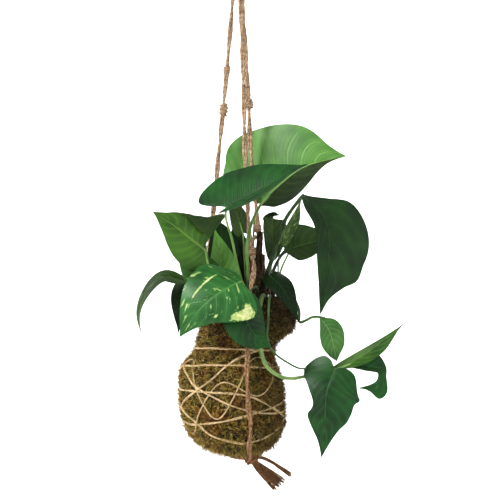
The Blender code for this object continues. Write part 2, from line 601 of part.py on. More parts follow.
def stem_hole(start, thick, where):
    """A round cutter standing where a stem goes into the soil."""
    foot, base = start
    along = unit(base - foot)
    points = [foot - along * 0.8, base + along * 8]
    return tube("hole", points, thick + 2 * 0.6, THIN_SIDES, where)


def old_stems(where):
    parts = []
    for i, (route, thick) in enumerate(OLD_STEMS):
        route = np.asarray(route, float)
        line = spline(route, np.linspace(0, 1, 5))
        foot = route[0] - np.array([0, 0, FOOT_DEPTH])
        parts.append(tube(f"stem_{i}", [foot, *line], thick, THIN_SIDES, where, taper=0.75))
    made = boolean(parts[0], parts[1:], "UNION", where)
    made.name = "old_stems"
    return made


def twine(where):
    """The winding, seven loops of straw twine crossing one another, joined."""
    loops = []
    for i, heights in enumerate(TWINE_LOOPS):
        closed = np.concatenate([np.array(heights[-2:], float), np.array(heights, float), heights[:3]])
        points = []
        for step in range(TWINE_STEPS):
            turn = step / TWINE_STEPS
            at = (2 + turn * 8) / (len(closed) - 1)
            height = float(spline(closed, at))
            points.append(moss_lifted(360 * turn + 4 * i, height, TWINE_LIFT))
        loops.append(tube(f"loop_{i}", points, TWINE, TWINE_SIDES, where, closed=True))
    made = boolean(loops[0], loops[1:], "UNION", where)
    made.name = "twine_wrap"
    return made


def leg(name, where):
    """A leg of the hanger: from the top knot down past the crown, over the ball and in to the gather."""
    upper = np.asarray(LEG_ROUTES[name], float)
    lower = [moss_lifted(LEG_ANGLES[name], height, LEG_LIFT) for height in LEG_HEIGHTS]
    points = [*upper, *lower, *LEG_ENDS[name]]
    made = tube(name, points, LEG, LEG_SIDES, where)
    extras = [ball("knot", centre, radii, where) for centre, radii in LEG_KNOTS[name]]
    if name == "leg_front":
        extras.append(tube("lashing", spline(LASHING, np.linspace(0, 1, 7)), LASHING_THICK, THIN_SIDES,
                           where))
    return boolean(made, extras, "UNION", where)


def hanging_loop(where):
    line = [(x, 0.0, z) for x, z in LOOP]
    made = tube("hanging_loop", line, LEG, LEG_SIDES, where)
    knot = ball("knot", *LOOP_KNOT, where, segments=16, rings=10)
    return boolean(made, [knot], "UNION", where)


def gather_and_tassel(where):
    made = ball("gather_tassel", *GATHER_KNOT, where, segments=14, rings=10)
    tails = []
    for route, thick in TASSEL:
        line = spline(route, np.linspace(0, 1, 5))
        tails.append(tube("tail", line, thick, THIN_SIDES, where, taper=0.85))
    return boolean(made, tails, "UNION", where)


def moss_and_soil(where):
    moss = turned_body("moss_shell", MOSS, 0.0, True, MOSS_SEGMENTS, MOSS_RINGS, where)
    cavity = turned_body("cavity", SOIL, CLEAR, False, SOIL_SEGMENTS, SOIL_RINGS, where)
    mouth = tube("mouth", MOUTH, 2 * MOUTH_RADIUS, 8, where)
    moss = boolean(moss, [cavity, mouth], "DIFFERENCE", where)
    soil = turned_body("soil_core", SOIL, 0.0, False, SOIL_SEGMENTS, SOIL_RINGS, where)
    holes = []
    for leaf in LEAVES:
        holes.append(stem_hole((foot_of(leaf), np.array(leaf["stalk"][0], float)), leaf["thick"], where))
    for vine in VINES:
        holes.append(stem_hole((foot_of(vine), np.array(vine["route"][0], float)), vine["thick"], where))
    base = np.array(OLD_STEMS[0][0][0], float)
    holes.append(stem_hole((base - np.array([0, 0, FOOT_DEPTH]), base), OLD_STEMS_FOOT, where))
    soil = boolean(soil, holes, "DIFFERENCE", where)
    return moss, soil


def paint(obj, kind):
    obj.data.materials.clear()
    obj.data.materials.append(material(obj.name, COLOURS[kind], 0.8))


def main():
    for obj in list(bpy.data.objects):
        bpy.data.objects.remove(obj)
    where = collection(OBJECT_NAME)
    moss, soil = moss_and_soil(where)
    paint(moss, "moss")
    paint(soil, "soil")
    paint(twine(where), "twine")
    paint(old_stems(where), "stem")
    for leaf in LEAVES:
        paint(leaf_with_stalk(leaf, where), "leaf")
    for vine in VINES:
        paint(vine_with_leaves(vine, where), "vine")
    for name in LEG_ROUTES:
        paint(leg(name, where), "jute")
    paint(hanging_loop(where), "jute")
    paint(gather_and_tassel(where), "jute")


main()
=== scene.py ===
"""The looks of a kokedama: a moss ball bound with straw twine, planted with a trailing heart-leaved vine.

Three jute legs carry the ball from a knotted loop above. They are tied together under it, where they end
in a frayed tassel. The tables are whole millimetres from the crown, the point where the stems leave the
moss: +X is right, +Y is away from the viewer and +Z is up. Every mesh is in metres, and its origin is the
bearing point inside the loop.
"""

import logging
import math
from dataclasses import dataclass
from enum import Enum
from typing import Optional, Sequence, Union

import bpy
import numpy as np
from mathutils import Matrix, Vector

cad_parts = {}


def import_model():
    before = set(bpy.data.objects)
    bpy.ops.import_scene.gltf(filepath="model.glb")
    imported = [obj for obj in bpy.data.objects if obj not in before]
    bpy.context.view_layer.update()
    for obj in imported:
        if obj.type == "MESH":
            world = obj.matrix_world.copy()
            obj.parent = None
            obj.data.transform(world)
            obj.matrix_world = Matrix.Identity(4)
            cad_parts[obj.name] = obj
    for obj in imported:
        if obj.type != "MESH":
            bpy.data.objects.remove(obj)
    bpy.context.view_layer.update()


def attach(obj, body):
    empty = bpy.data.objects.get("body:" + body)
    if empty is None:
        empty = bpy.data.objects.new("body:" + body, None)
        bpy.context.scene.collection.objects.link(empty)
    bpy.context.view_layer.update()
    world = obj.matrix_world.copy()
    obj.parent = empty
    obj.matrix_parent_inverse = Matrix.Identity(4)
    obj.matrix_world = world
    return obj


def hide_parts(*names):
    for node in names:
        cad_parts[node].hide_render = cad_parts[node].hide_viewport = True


LOG = logging.getLogger("kokedama")

MM = 0.001
CROWN_BELOW_ORIGIN = 431.5
BODY = "root"

Point = tuple[float, float, float]
Outline = Union[float, tuple[tuple[float, float], ...]]
Colour = tuple[float, float, float]

# The thickness of the jute and of the straw, how far the legs' middles lie off the moss, and how deep in the
# soil the stalks start.
LEG = 5.4
TWINE = 2.6
LEG_LIFT = 7.6
FOOT_DEPTH = 12.0

# How much of a texture number each millimetre along a cord takes, and how the leaves' side veins bend: the
# power of the place across at which they lean towards the tip.
MARK_PER_MM = 0.01
VEIN_BEND = 1.35

# The usual heart of the leaf: how far along the rib, how far out, and where the veins leave the rib.
ALONG = (-0.02, -0.75, -1.0, 0.08, 0.32, 0.56, 0.76, 0.90, 1.0)
OUT = (0.05, 0.34, 0.66, 0.96, 1.0, 0.80, 0.45, 0.15, 0.012)
ROOT = (0.0, 0.015, 0.04, 0.12, 0.32, 0.56, 0.77, 0.91, 1.0)

# The moss ball and collar: height, centre x, radius.
MOSS = (
    (35, 26, 19), (27, 20, 35), (20, 13, 43), (12, 11, 47), (1, 8, 47), (-7, 2, 43), (-15, -2, 40),
    (-22, -3, 41), (-30, -6, 45), (-39, -7, 49), (-49, -6, 52), (-60, -6, 53.5), (-72, -6, 53),
    (-85, -5, 52.5), (-96, -3, 51), (-106, -3, 48), (-116, -1, 40), (-123, 0, 25), (-127, 1, 6),
)

# Each loop of twine: its height at eight angles round the ball, from the right (0 degrees) by the back.
TWINE_LOOPS = (
    (-20, -21, -22, -21, -19, -17, -17, -19),
    (-38, -40, -42, -42, -38, -35, -34, -37),
    (-80, -66, -44, -34, -36, -58, -77, -84),
    (-28, -50, -74, -86, -81, -55, -25, -19),
    (-66, -62, -68, -82, -94, -93, -85, -76),
    (-98, -78, -60, -56, -60, -61, -65, -84),
    (-70, -52, -40, -52, -80, -107, -112, -98),
)

# Thinner straws that cross them, in the same way.
THIN_STRAWS = (
    (-50, -60, -70, -60, -30, -88, -28, -40),
    (-30, -40, -60, -80, -104, -52, -64, -30),
)
THIN_STRAW = 1.4

# The hanger's legs: down from the top knot, past the crown and on to the ball.
LEG_ROUTES = {
    "leg_front": ((0, -3.6, 377.1), (3, -6, 347), (5, -8, 305), (7, -10, 237), (8, -12, 189),
                  (11, -13, 129), (14, -14, 84), (17, -20, 73), (17, -30, 61), (14, -43, 46),
                  (12, -53, 28), (12, -57, 8), (11, -59, -20), (10, -61.5, -45)),
    "leg_right": ((3.3, 1.9, 377.1), (5, 3, 347), (8, 5, 305), (12, 7, 237), (14, 9, 191),
                  (20.5, 11.5, 122), (22, 13, 106), (24, 22, 86), (29, 38, 58), (37, 46, 32),
                  (41, 49, 12), (38, 47, -20)),
    "leg_left": ((-3.3, 1.9, 377.1), (-5, 3, 347), (-11, 7, 275), (-15, 11, 233), (-20, 14, 185),
                 (-23, 17, 150), (-30, 27, 85), (-34, 39, 32), (-37, 42, 8), (-40, 43, -24)),
}
# Where each leg lies on the ball, as an angle round it, and how it comes in to the gather below.
LEG_ANGLES = {"leg_front": -73, "leg_right": 45, "leg_left": 132}
LEG_HEIGHTS = (-60, -74, -88, -101, -112)
LEG_ENDS = {
    "leg_front": ((13, -30, -127), (13.6, -11.5, -132.6)),
    "leg_right": ((28, 22, -127), (17.8, 2.4, -132.8)),
    "leg_left": ((-18, 26, -127), (-4, 11.6, -132.4), (8.1, 0.9, -133.6)),
}
LEG_KNOTS = {
    "leg_front": (((14, -14, 83), (5.8, 4.8, 4.8)),),
    "leg_right": (((12, 7, 239), (5.6, 5.0, 5.4)), ((21.5, 12.6, 108), (4.4, 4.4, 6))),
    "leg_left": (((-14.5, 10, 233), (5.2, 5.0, 7)), ((-11, 7, 275), (4.4, 4.4, 4.2))),
}
LASHING = ((14, -14, 83), (16, -7, 91), (19.6, 4.6, 100))

LOOP = (
    (2, 392), (5.5, 397), (8.6, 405), (10.4, 414), (10.6, 422), (8.4, 429.4), (4.6, 433.2), (0, 434.2),
    (-4.6, 433.2), (-8.4, 429.4), (-10.6, 422), (-10.4, 414), (-8.6, 405), (-5.5, 397), (-2, 392),
)
LOOP_KNOT = ((0, 0, 387), (8.0, 7.2, 9.6))

GATHER_KNOT = ((14, -4, -133.6), (7.4, 6.6, 6.2))
TASSEL = (
    (((14, -4, -134), (26, -6, -150), (42, -8, -166)), 5.0),
    (((14, -4, -134), (29, -4, -148), (47, -4, -163)), 5.0),
    (((14, -4, -134), (31, -2, -145), (51, 0, -159)), 4.6),
    (((14, -4, -133), (27, 1, -147), (42, 5, -162)), 4.6),
    (((16, -4, -131), (30, -5, -134), (47, -6, -144), (58, -6, -152)), 3.8),
)

# Old stems of the crown: routes and diameters.
OLD_STEMS = (
    (((18, 0, 35), (20, -1, 52), (22, -1, 72), (24, 0, 104)), 8.4),
    (((18, 0, 35), (15, 0, 50), (14, 2, 66), (15, 5, 84)), 5.6),
    (((18, 0, 35), (23, -3, 47), (26, -4, 62), (27, -3, 80)), 6.2),
)


def spline(knots: np.ndarray, t: np.ndarray) -> np.ndarray:
    """Reads a smooth line through evenly spaced knots.

    Args:
        knots: the knots, one a row, or a plain list of numbers.
        t: where to read it, from 0 at the first knot to 1 at the last.

    Returns:
        The points of the line, or its numbers where the knots are numbers.
    """
    k = np.asarray(knots, float)
    flat = k.ndim == 1
    if flat:
        k = k[:, None]
    n = len(k) - 1
    t = np.clip(np.asarray(t, float), 0, 1) * n
    i = np.minimum(t.astype(int), n - 1)
    f = (t - i)[..., None]
    a = np.vstack([2 * k[0] - k[1], k, 2 * k[-1] - k[-2]])
    p0, p1, p2, p3 = a[i], a[i + 1], a[i + 2], a[i + 3]
    cubic = 3 * p1 - p0 - 3 * p2 + p3
    square = 2 * p0 - 5 * p1 + 4 * p2 - p3
    r = 0.5 * (2 * p1 + (p2 - p0) * f + square * f ** 2 + cubic * f ** 3)
    return r[..., 0] if flat else r


def unit(v: np.ndarray) -> np.ndarray:
    """Vectors made one long."""
    return v / np.maximum(np.linalg.norm(v, axis=-1, keepdims=True), 1e-9)


def length_of(line: np.ndarray) -> float:
    """The length of a line of points."""
    return float(np.linalg.norm(np.diff(line, axis=0), axis=1).sum())


def run_along(line: np.ndarray) -> np.ndarray:
    """How far along a line of points each of them lies."""
    return np.concatenate([[0], np.cumsum(np.linalg.norm(np.diff(line, axis=0), axis=1))])


def even_line(knots: Sequence[Point], step: float) -> np.ndarray:
    """Reads a smooth line through knots at even steps.

    Args:
        knots: the points that the line goes through.
        step: the distance wanted between neighbours on it.

    Returns:
        The points, at least four of them, with both ends kept.
    """
    fine = spline(np.asarray(knots, float), np.linspace(0, 1, 16 * len(knots)))
    run = run_along(fine)
    at = np.linspace(0, run[-1], max(4, round(run[-1] / step) + 1))
    return np.stack([np.interp(at, run, fine[:, k]) for k in range(3)], axis=1)


def frames(line: np.ndarray, closed: bool = False) -> tuple[np.ndarray, np.ndarray, np.ndarray]:
    """Carries a frame along a line without twisting it.

    Args:
        line: the points of the line.
        closed: whether its last point meets its first, where the turn left over is spread along it.

    Returns:
        Two directions square to the line and its own direction, at each point, right-handed.
    """
    if closed:
        tangent = unit(np.roll(line, -1, axis=0) - np.roll(line, 1, axis=0))
    else:
        tangent = unit(np.gradient(line, axis=0))
    side = np.empty_like(tangent)
    start = np.array([1.0, 0, 0]) if abs(tangent[0][0]) < 0.7 else np.array([0, 1.0, 0])
    for i, along in enumerate(tangent):
        start = start - along * np.dot(start, along)
        start = start / np.linalg.norm(start)
        side[i] = start
    up = np.cross(tangent, side)
    if closed:
        last = side[-1] - tangent[0] * np.dot(side[-1], tangent[0])
        turn = math.atan2(np.dot(last, up[0]), np.dot(last, side[0]))
        angle = (-turn * np.arange(len(line)) / len(line))[:, None]
        side, up = side * np.cos(angle) + up * np.sin(angle), up * np.cos(angle) - side * np.sin(angle)
    return side, up, tangent


def foot_of(start: np.ndarray, way: np.ndarray) -> np.ndarray:
    """Where a stem that leaves the soil at a point, going one way, starts down in its hole."""
    return start - unit(way * 0.3 + np.array([0, 0, 0.7])) * FOOT_DEPTH


def four_corners(sheet: np.ndarray, axis: int) -> np.ndarray:
    """The four corners of each cell of a sheet, in order round the cell, along one axis."""
    return np.stack([sheet[:-1, :-1], sheet[:-1, 1:], sheet[1:, 1:], sheet[1:, :-1]], axis=axis)


class Sketch:
    """Points and faces gathered in table millimetres before they become one object.

    DOME is how far a tube's end bulges, as a share of its radius. TAPER is how thick a strand is half way
    along, as a share of its thickness at the root.
    """

    DOME = 0.25
    TAPER = 0.8

    def __init__(self) -> None:
        """Starts empty."""
        self.points: list[np.ndarray] = []
        self.faces: list[np.ndarray] = []
        self.corners: list[np.ndarray] = []
        self.slots: list[np.ndarray] = []
        self.count = 0

    def add(self, points: np.ndarray, faces: np.ndarray, corners: np.ndarray, slot: int = 0) -> None:
        """Takes in points and faces of one kind.

        Args:
            points: the points, one a row.
            faces: which points each face joins, three or four a row.
            corners: the two texture numbers of each corner of each face.
            slot: the material slot of the faces.
        """
        self.points.append(points)
        self.faces.append(faces + self.count)
        self.corners.append(corners)
        self.slots.append(np.full(len(faces), slot))
        self.count += len(points)

    def grid(self, points: np.ndarray, marks: np.ndarray, slot: int = 0, around: bool = False,
             flip: bool = False) -> None:
        """Takes in a sheet of points in rows and columns.

        Args:
            points: the points, rows by columns.
            marks: the two texture numbers of each point, with a column more where the sheet closes round.
            slot: the material slot.
            around: whether each row closes on itself.
            flip: whether the faces look the other way.
        """
        rows, cols = points.shape[:2]
        index = np.arange(rows * cols).reshape(rows, cols)
        if around:
            index = np.concatenate([index, index[:, :1]], axis=1)
        quads = four_corners(index, -1).reshape(-1, 4)
        corners = four_corners(marks, 2).reshape(-1, 4, 2)
        if flip:
            quads, corners = quads[:, ::-1], corners[:, ::-1]
        self.add(points.reshape(-1, 3), quads, corners, slot)

    def fan(self, centre: Sequence[float], ring: np.ndarray, mark: np.ndarray, slot: int = 0,
            flip: bool = False) -> None:
        """Closes a ring of points with faces that meet at one point.

        Args:
            centre: the point where they meet.
            ring: the points of the ring.
            mark: the two texture numbers of all the corners.
            slot: the material slot.
            flip: whether the faces look the other way.
        """
        here = np.arange(1, len(ring) + 1)
        there = np.roll(here, -1)
        order = (there, here) if flip else (here, there)
        faces = np.stack([np.zeros(len(ring), int), *order], axis=-1)
        self.add(np.vstack([centre, ring]), faces, np.broadcast_to(mark, (len(ring), 3, 2)), slot)

    def tube(self, line: np.ndarray, radius: Union[float, np.ndarray], sides: int = 10, slot: int = 0,
             ridges: int = 0, depth: float = 0.0, turn: float = 0.0, closed: bool = False) -> None:
        """Takes in a round or ridged tube along a line.

        Args:
            line: the points of its centreline.
            radius: its radius, or one for each point.
            sides: how many faces go round it.
            slot: the material slot.
            ridges: how many ridges run along it.
            depth: how high the ridges are, as a share of the radius.
            turn: how many turns the ridges make in a millimetre.
            closed: whether its ends meet.
        """
        side, up, along = frames(line, closed)
        run = run_along(line)
        radius = np.broadcast_to(np.asarray(radius, float), (len(line),))
        angle = np.linspace(0, 2 * math.pi, sides, endpoint=False)
        wave = 1 + depth * np.cos(ridges * angle[None, :] + 2 * math.pi * turn * run[:, None])
        out = side[:, None] * np.cos(angle)[None, :, None] + up[:, None] * np.sin(angle)[None, :, None]
        rings = line[:, None] + out * (radius[:, None] * wave)[..., None]
        marks = np.empty((len(line), sides + 1, 2))
        marks[..., 0] = np.linspace(0, 1, sides + 1)[None, :]
        marks[..., 1] = run[:, None] * MARK_PER_MM
        if closed:
            rings = np.concatenate([rings, rings[:1]])
            more = marks[:1].copy()
            more[..., 1] = (run[-1] + np.linalg.norm(line[0] - line[-1])) * MARK_PER_MM
            marks = np.concatenate([marks, more])
            self.grid(rings, marks, slot, around=True)
            return
        self.grid(rings, marks, slot, around=True)
        dome = radius[0] * self.DOME
        for end, outwards in ((0, -1), (-1, 1)):
            centre = line[end] + along[end] * outwards * dome
            self.fan(centre, rings[end], marks[end, 0], slot, flip=outwards < 0)

    def strands(self, roots: np.ndarray, reach: np.ndarray, bend: np.ndarray, width: np.ndarray,
                tint: np.ndarray) -> None:
        """Takes in many small tapered strands, each a three-sided spike of two lengths.

        Args:
            roots: where each strand starts.
            reach: the way and the length that it goes.
            bend: how far its tip is bent off that way.
            width: its radius at the root.
            tint: one number from 0 to 1 for each strand, which its colour is read from.
        """
        count = len(roots)
        along = unit(reach)
        side = unit(np.cross(along, np.where(np.abs(along[:, 2:]) < 0.8, [[0, 0, 1.0]], [[1.0, 0, 0]])))
        up = np.cross(along, side)
        points = np.empty((count, 7, 3))
        for k in range(3):
            angle = 2 * math.pi * k / 3
            off = (side * math.cos(angle) + up * math.sin(angle)) * width[:, None]
            points[:, k] = roots + off
            points[:, 3 + k] = roots + reach * 0.5 + bend * 0.25 + off * self.TAPER
        points[:, 6] = roots + reach + bend
        start = (np.arange(count) * 7)[:, None] + self.count
        self.points.append(points.reshape(-1, 3))
        self.count += count * 7
        for k in range(3):
            m = (k + 1) % 3
            lower, upper = (k, m, 3 + m, 3 + k), (3 + k, 3 + m, 6)
            for pattern, heights in ((lower, (0, 0, .5, .5)), (upper, (.5, .5, 1))):
                corners = np.empty((count, len(pattern), 2))
                corners[..., 0] = tint[:, None]
                corners[..., 1] = heights
                self.faces.append(start + np.array(pattern))
                self.corners.append(corners)
                self.slots.append(np.zeros(count, int))

    def build(self, name: str, materials: Sequence[bpy.types.Material]) -> bpy.types.Object:
        """Makes the object.

        Args:
            name: the object's name.
            materials: its materials, in the order of the slots.

        Returns:
            The object, in metres from the loop, linked to the scene.
        """
        points = np.concatenate(self.points)
        points = (points - [0, 0, CROWN_BELOW_ORIGIN]) * MM
        faces = [row for block in self.faces for row in block.tolist()]
        mesh = bpy.data.meshes.new(name)
        mesh.from_pydata(points.tolist(), [], faces)
        marks = mesh.uv_layers.new(name="marks")
        marks.data.foreach_set("uv", np.concatenate([c.reshape(-1) for c in self.corners]))
        mesh.polygons.foreach_set("material_index", np.concatenate(self.slots).astype(np.int32))
        mesh.polygons.foreach_set("use_smooth", np.ones(len(faces), bool))
        mesh.update()
        for material in materials:
            mesh.materials.append(material)
        made = bpy.data.objects.new(name, mesh)
        bpy.context.scene.collection.objects.link(made)
        return made


def srgb(red: float, green: float, blue: float) -> Colour:
    """A colour given as seen, from 0 to 255, as the light values that a shader takes."""
    shares = (red / 255, green / 255, blue / 255)
    return tuple(((c + 0.055) / 1.055) ** 2.4 if c > 0.04 else c / 12.92 for c in shares)


Socket = bpy.types.NodeSocket
Input = Union[Socket, float, tuple]


class Nodes:
    """Lays out one material's nodes."""

    def __init__(self, name: str) -> None:
        """Starts a material with its shader.

        Args:
            name: the material's name.
        """
        self.material = bpy.data.materials.new(name)
        self.material.use_nodes = True
        self.tree = self.material.node_tree
        self.shader = self.tree.nodes["Principled BSDF"]

    def put(self, socket: Socket, value: Input) -> None:
        """Sets a socket to a value, or links it."""
        if isinstance(value, bpy.types.NodeSocket):
            self.tree.links.new(value, socket)
        elif isinstance(value, tuple) and len(value) == 3 and socket.type == "RGBA":
            socket.default_value = (*value, 1)
        else:
            socket.default_value = value

    def place(self) -> Socket:
        """The place on the object, in metres."""
        return self.tree.nodes.new("ShaderNodeTexCoord").outputs["Object"]

    def split(self, vector: Input) -> tuple[Socket, Socket, Socket]:
        """A vector's three numbers."""
        parts = self.tree.nodes.new("ShaderNodeSeparateXYZ")
        self.put(parts.inputs[0], vector)
        return parts.outputs[0], parts.outputs[1], parts.outputs[2]

    def marks(self) -> tuple[Socket, Socket]:
        """The two texture numbers of the surface."""
        return self.split(self.tree.nodes.new("ShaderNodeTexCoord").outputs["UV"])[:2]

    def vector(self, x: Input, y: Input, z: Input) -> Socket:
        """Three numbers as one vector."""
        joined = self.tree.nodes.new("ShaderNodeCombineXYZ")
        for socket, value in zip(joined.inputs, (x, y, z)):
            self.put(socket, value)
        return joined.outputs[0]

    def scaled(self, vector: Input, by: Point) -> Socket:
        """A vector with each of its numbers multiplied."""
        node = self.tree.nodes.new("ShaderNodeVectorMath")
        node.operation = "MULTIPLY"
        self.put(node.inputs[0], vector)
        self.put(node.inputs[1], by)
        return node.outputs[0]

    def sum(self, operation: str, a: Input, b: Input = 0.0, limit: bool = False) -> Socket:
        """One sum on one or two numbers.

        Args:
            operation: the name of the Math node's operation.
            a: the first number.
            b: the second number.
            limit: whether the result is kept from 0 to 1.

        Returns:
            The result.
        """
        node = self.tree.nodes.new("ShaderNodeMath")
        node.operation = operation
        node.use_clamp = limit
        self.put(node.inputs[0], a)
        self.put(node.inputs[1], b)
        return node.outputs[0]

    def plus(self, a: Input, b: Input) -> Socket:
        """Two numbers added."""
        return self.sum("ADD", a, b)

    def minus(self, a: Input, b: Input) -> Socket:
        """The second of two numbers taken from the first."""
        return self.sum("SUBTRACT", a, b)

    def times(self, a: Input, b: Input) -> Socket:
        """Two numbers multiplied."""
        return self.sum("MULTIPLY", a, b)

    def span(self, value: Input, low: float, high: float, start: float = 0.0, end: float = 1.0) -> Socket:
        """A number eased from one span on to another.

        Args:
            value: the number.
            low: where the first span starts.
            high: where it ends.
            start: the result at low.
            end: the result at high.

        Returns:
            The result, held at start and end outside the span.
        """
        node = self.tree.nodes.new("ShaderNodeMapRange")
        node.interpolation_type = "SMOOTHSTEP"
        for socket, number in zip(node.inputs, (value, low, high, start, end)):
            self.put(socket, number)
        return node.outputs[0]

    def noise(self, vector: Input, scale: float, detail: float = 4.0, rough: float = 0.55) -> Socket:
        """A cloudy pattern.

        Args:
            vector: where it is read.
            scale: how many clouds there are in one.
            detail: how many finer layers it has.
            rough: how strong they are.

        Returns:
            Its value, about 0.5 in the middle.
        """
        node = self.tree.nodes.new("ShaderNodeTexNoise")
        self.put(node.inputs["Vector"], vector)
        self.put(node.inputs["Scale"], scale)
        self.put(node.inputs["Detail"], detail)
        self.put(node.inputs["Roughness"], rough)
        return node.outputs["Fac"]

    def blend(self, share: Input, first: Input, second: Input) -> Socket:
        """Two colours mixed, from the first at 0 to the second at 1."""
        node = self.tree.nodes.new("ShaderNodeMix")
        node.data_type = "RGBA"
        self.put(node.inputs[0], share)
        self.put(node.inputs[6], first)
        self.put(node.inputs[7], second)
        return node.outputs[2]

    def steps(self, value: Input, stops: Sequence[tuple[float, Colour]]) -> Socket:
        """A colour read from a row of stops by a number from 0 to 1."""
        node = self.tree.nodes.new("ShaderNodeValToRGB")
        ramp = node.color_ramp
        while len(ramp.elements) < len(stops):
            ramp.elements.new(0.5)
        for element, (at, colour) in zip(ramp.elements, stops):
            element.position = at
            element.color = (*colour, 1)
        self.put(node.inputs[0], value)
        return node.outputs[0]

    def bump(self, height: Input, strength: float, distance: float) -> None:
        """Raises the surface by a height, in the shader only."""
        node = self.tree.nodes.new("ShaderNodeBump")
        self.put(node.inputs["Height"], height)
        self.put(node.inputs["Strength"], strength)
        self.put(node.inputs["Distance"], distance)
        self.put(self.shader.inputs["Normal"], node.outputs[0])

    def shade(self, **sockets: Input) -> bpy.types.Material:
        """Sets the shader's own sockets, named with underscores for spaces, and gives the material."""
        for name, value in sockets.items():
            self.put(self.shader.inputs[name.replace("_", " ")], value)
        return self.material


@dataclass(frozen=True)
class Patch:
    """A pale patch of a leaf: its middle and its reach, across from -1 to 1 and along from 0 to 1."""

    across: float
    along: float
    reach_across: float
    reach_along: float


@dataclass(frozen=True)
class LeafFinish:
    """One side of a leaf: satin skin with a pale rib and slanting veins, and cream in places."""

    name: str
    deep: Colour
    fresh: Colour
    vein: Colour
    vein_show: float = 0.5
    cream: float = 0.0
    patches: tuple[Patch, ...] = ()
    roughness: float = 0.42
    relief: float = 0.4
    shine: float = 0.25
    vein_pairs: float = 8.0
    slant: float = 0.26
    cream_colour: Colour = srgb(206, 208, 150)
    cream_shade: Colour = srgb(158, 180, 96)
    cream_edge: Colour = srgb(112, 158, 82)

    def cream_share(self, nodes: Nodes, across: Socket, phase: Socket, along: Socket) -> Socket:
        """Lays out where the leaf is cream.

        Args:
            nodes: the material's nodes.
            across: the place across the leaf, from -1 to 1.
            phase: the place along it, counted by its veins.
            along: the place along it, from 0 to 1.

        Returns:
            The share of cream, from 0 to 1.
        """
        place = nodes.scaled(nodes.place(), (6.0, 6.0, 6.0))
        drift = nodes.noise(place, 1.0, 1.0)
        lengthways = nodes.times(phase, 0.55)
        streaks = nodes.noise(nodes.vector(across, lengthways, drift), 2.6, 6.0, 0.62)
        edge = 0.70 - 0.16 * self.cream
        share = nodes.span(streaks, edge - 0.02, edge + 0.10)
        ragged = nodes.noise(nodes.vector(nodes.times(across, 5.0), phase, 0.0), 1.6, 5.0, 0.7)
        for patch in self.patches:
            x = nodes.sum("DIVIDE", nodes.minus(across, patch.across), patch.reach_across)
            y = nodes.sum("DIVIDE", nodes.minus(along, patch.along), patch.reach_along)
            away = nodes.plus(nodes.times(x, x), nodes.times(y, y))
            away = nodes.plus(away, nodes.times(nodes.minus(ragged, 0.5), 5.0))
            share = nodes.sum("MAXIMUM", share, nodes.span(away, 1.25, 0.75))
        return share

    def make(self) -> bpy.types.Material:
        """Makes the material."""
        nodes = Nodes(self.name)
        u, along = nodes.marks()
        across = nodes.minus(nodes.times(u, 2.0), 1.0)
        out = nodes.sum("ABSOLUTE", across)
        lean = nodes.times(nodes.sum("POWER", out, VEIN_BEND), self.slant)
        phase = nodes.times(nodes.minus(along, lean), self.vein_pairs)
        near = nodes.sum("PINGPONG", phase, 0.5)
        fade = nodes.span(out, 0.35, 0.98, 0.62, 0.0)
        side_veins = nodes.times(nodes.span(near, 0.0, 0.085, 1.0, 0.0), fade)
        fine = nodes.sum("PINGPONG", nodes.times(phase, 4.0), 0.5)
        thinning = nodes.span(out, 0.1, 0.9, 1.0, 0.3)
        fine_veins = nodes.times(nodes.span(fine, 0.0, 0.3, 0.16, 0.0), thinning)
        rib = nodes.span(out, 0.012, 0.05, 1.0, 0.0)
        veins = nodes.sum("MAXIMUM", nodes.sum("MAXIMUM", rib, side_veins), fine_veins)
        place = nodes.place()
        clouds = nodes.noise(place, 30.0, 2.0)
        grain = nodes.noise(place, 900.0, 2.0)
        tone = nodes.plus(nodes.span(clouds, 0.22, 0.78), nodes.times(grain, 0.16))
        belly = nodes.span(near, 0.05, 0.5, 0.0, 0.22)
        tone = nodes.sum("SUBTRACT", tone, nodes.plus(belly, 0.02), limit=True)
        skin = nodes.blend(tone, self.deep, self.fresh)
        if self.cream > 0 or self.patches:
            share = self.cream_share(nodes, across, phase, along)
            mottle = nodes.span(nodes.noise(place, 260.0), 0.4, 0.6)
            pale = nodes.blend(mottle, self.cream_colour, self.cream_shade)
            half_way = nodes.blend(nodes.span(share, 0.0, 0.5), skin, self.cream_edge)
            skin = nodes.blend(nodes.span(share, 0.35, 1.0), half_way, pale)
        shown = nodes.times(veins, self.vein_show)
        skin = nodes.blend(shown, skin, self.vein)
        height = nodes.minus(nodes.times(grain, 0.25), veins)
        nodes.bump(height, self.relief, 0.0006)
        rough = nodes.span(grain, 0.3, 0.7, self.roughness - 0.05, self.roughness + 0.07)
        return nodes.shade(Base_Color=skin, Roughness=rough, Specular_IOR_Level=self.shine)


@dataclass(frozen=True)
class StalkFinish:
    """A leaf stalk or green vine: smooth, pale and faintly streaked along its length, and darkened towards
    its foot as painted shade down among the crown.
    """

    name: str
    pale: Colour
    deep: Colour
    # How far along the stalk the painted shade at its foot fades out, and the colour of that painted shade.
    dark_foot: float = 0.5
    foot_shade: Colour = srgb(26, 36, 12)

    def make(self) -> bpy.types.Material:
        """Makes the material."""
        nodes = Nodes(self.name)
        u, along = nodes.marks()
        drawn_out = nodes.vector(nodes.times(u, 9.0), nodes.times(along, 6.0), 0.0)
        streaks = nodes.noise(drawn_out, 1.0, 4.0)
        clouds = nodes.span(nodes.noise(nodes.place(), 60.0, 3.0), 0.35, 0.65, 0.0, 0.45)
        mixed = nodes.plus(nodes.span(streaks, 0.35, 0.65, 0.0, 0.55), clouds)
        nodes.bump(streaks, 0.25, 0.0005)
        green = nodes.blend(mixed, self.deep, self.pale)
        # Painted shade: the stalk darkens towards its foot, down among the crown and the moss.
        green = nodes.blend(nodes.span(along, 0.18, self.dark_foot, 0.9, 0.0), green, self.foot_shade)
        return nodes.shade(Base_Color=green, Roughness=0.44, Specular_IOR_Level=0.3)


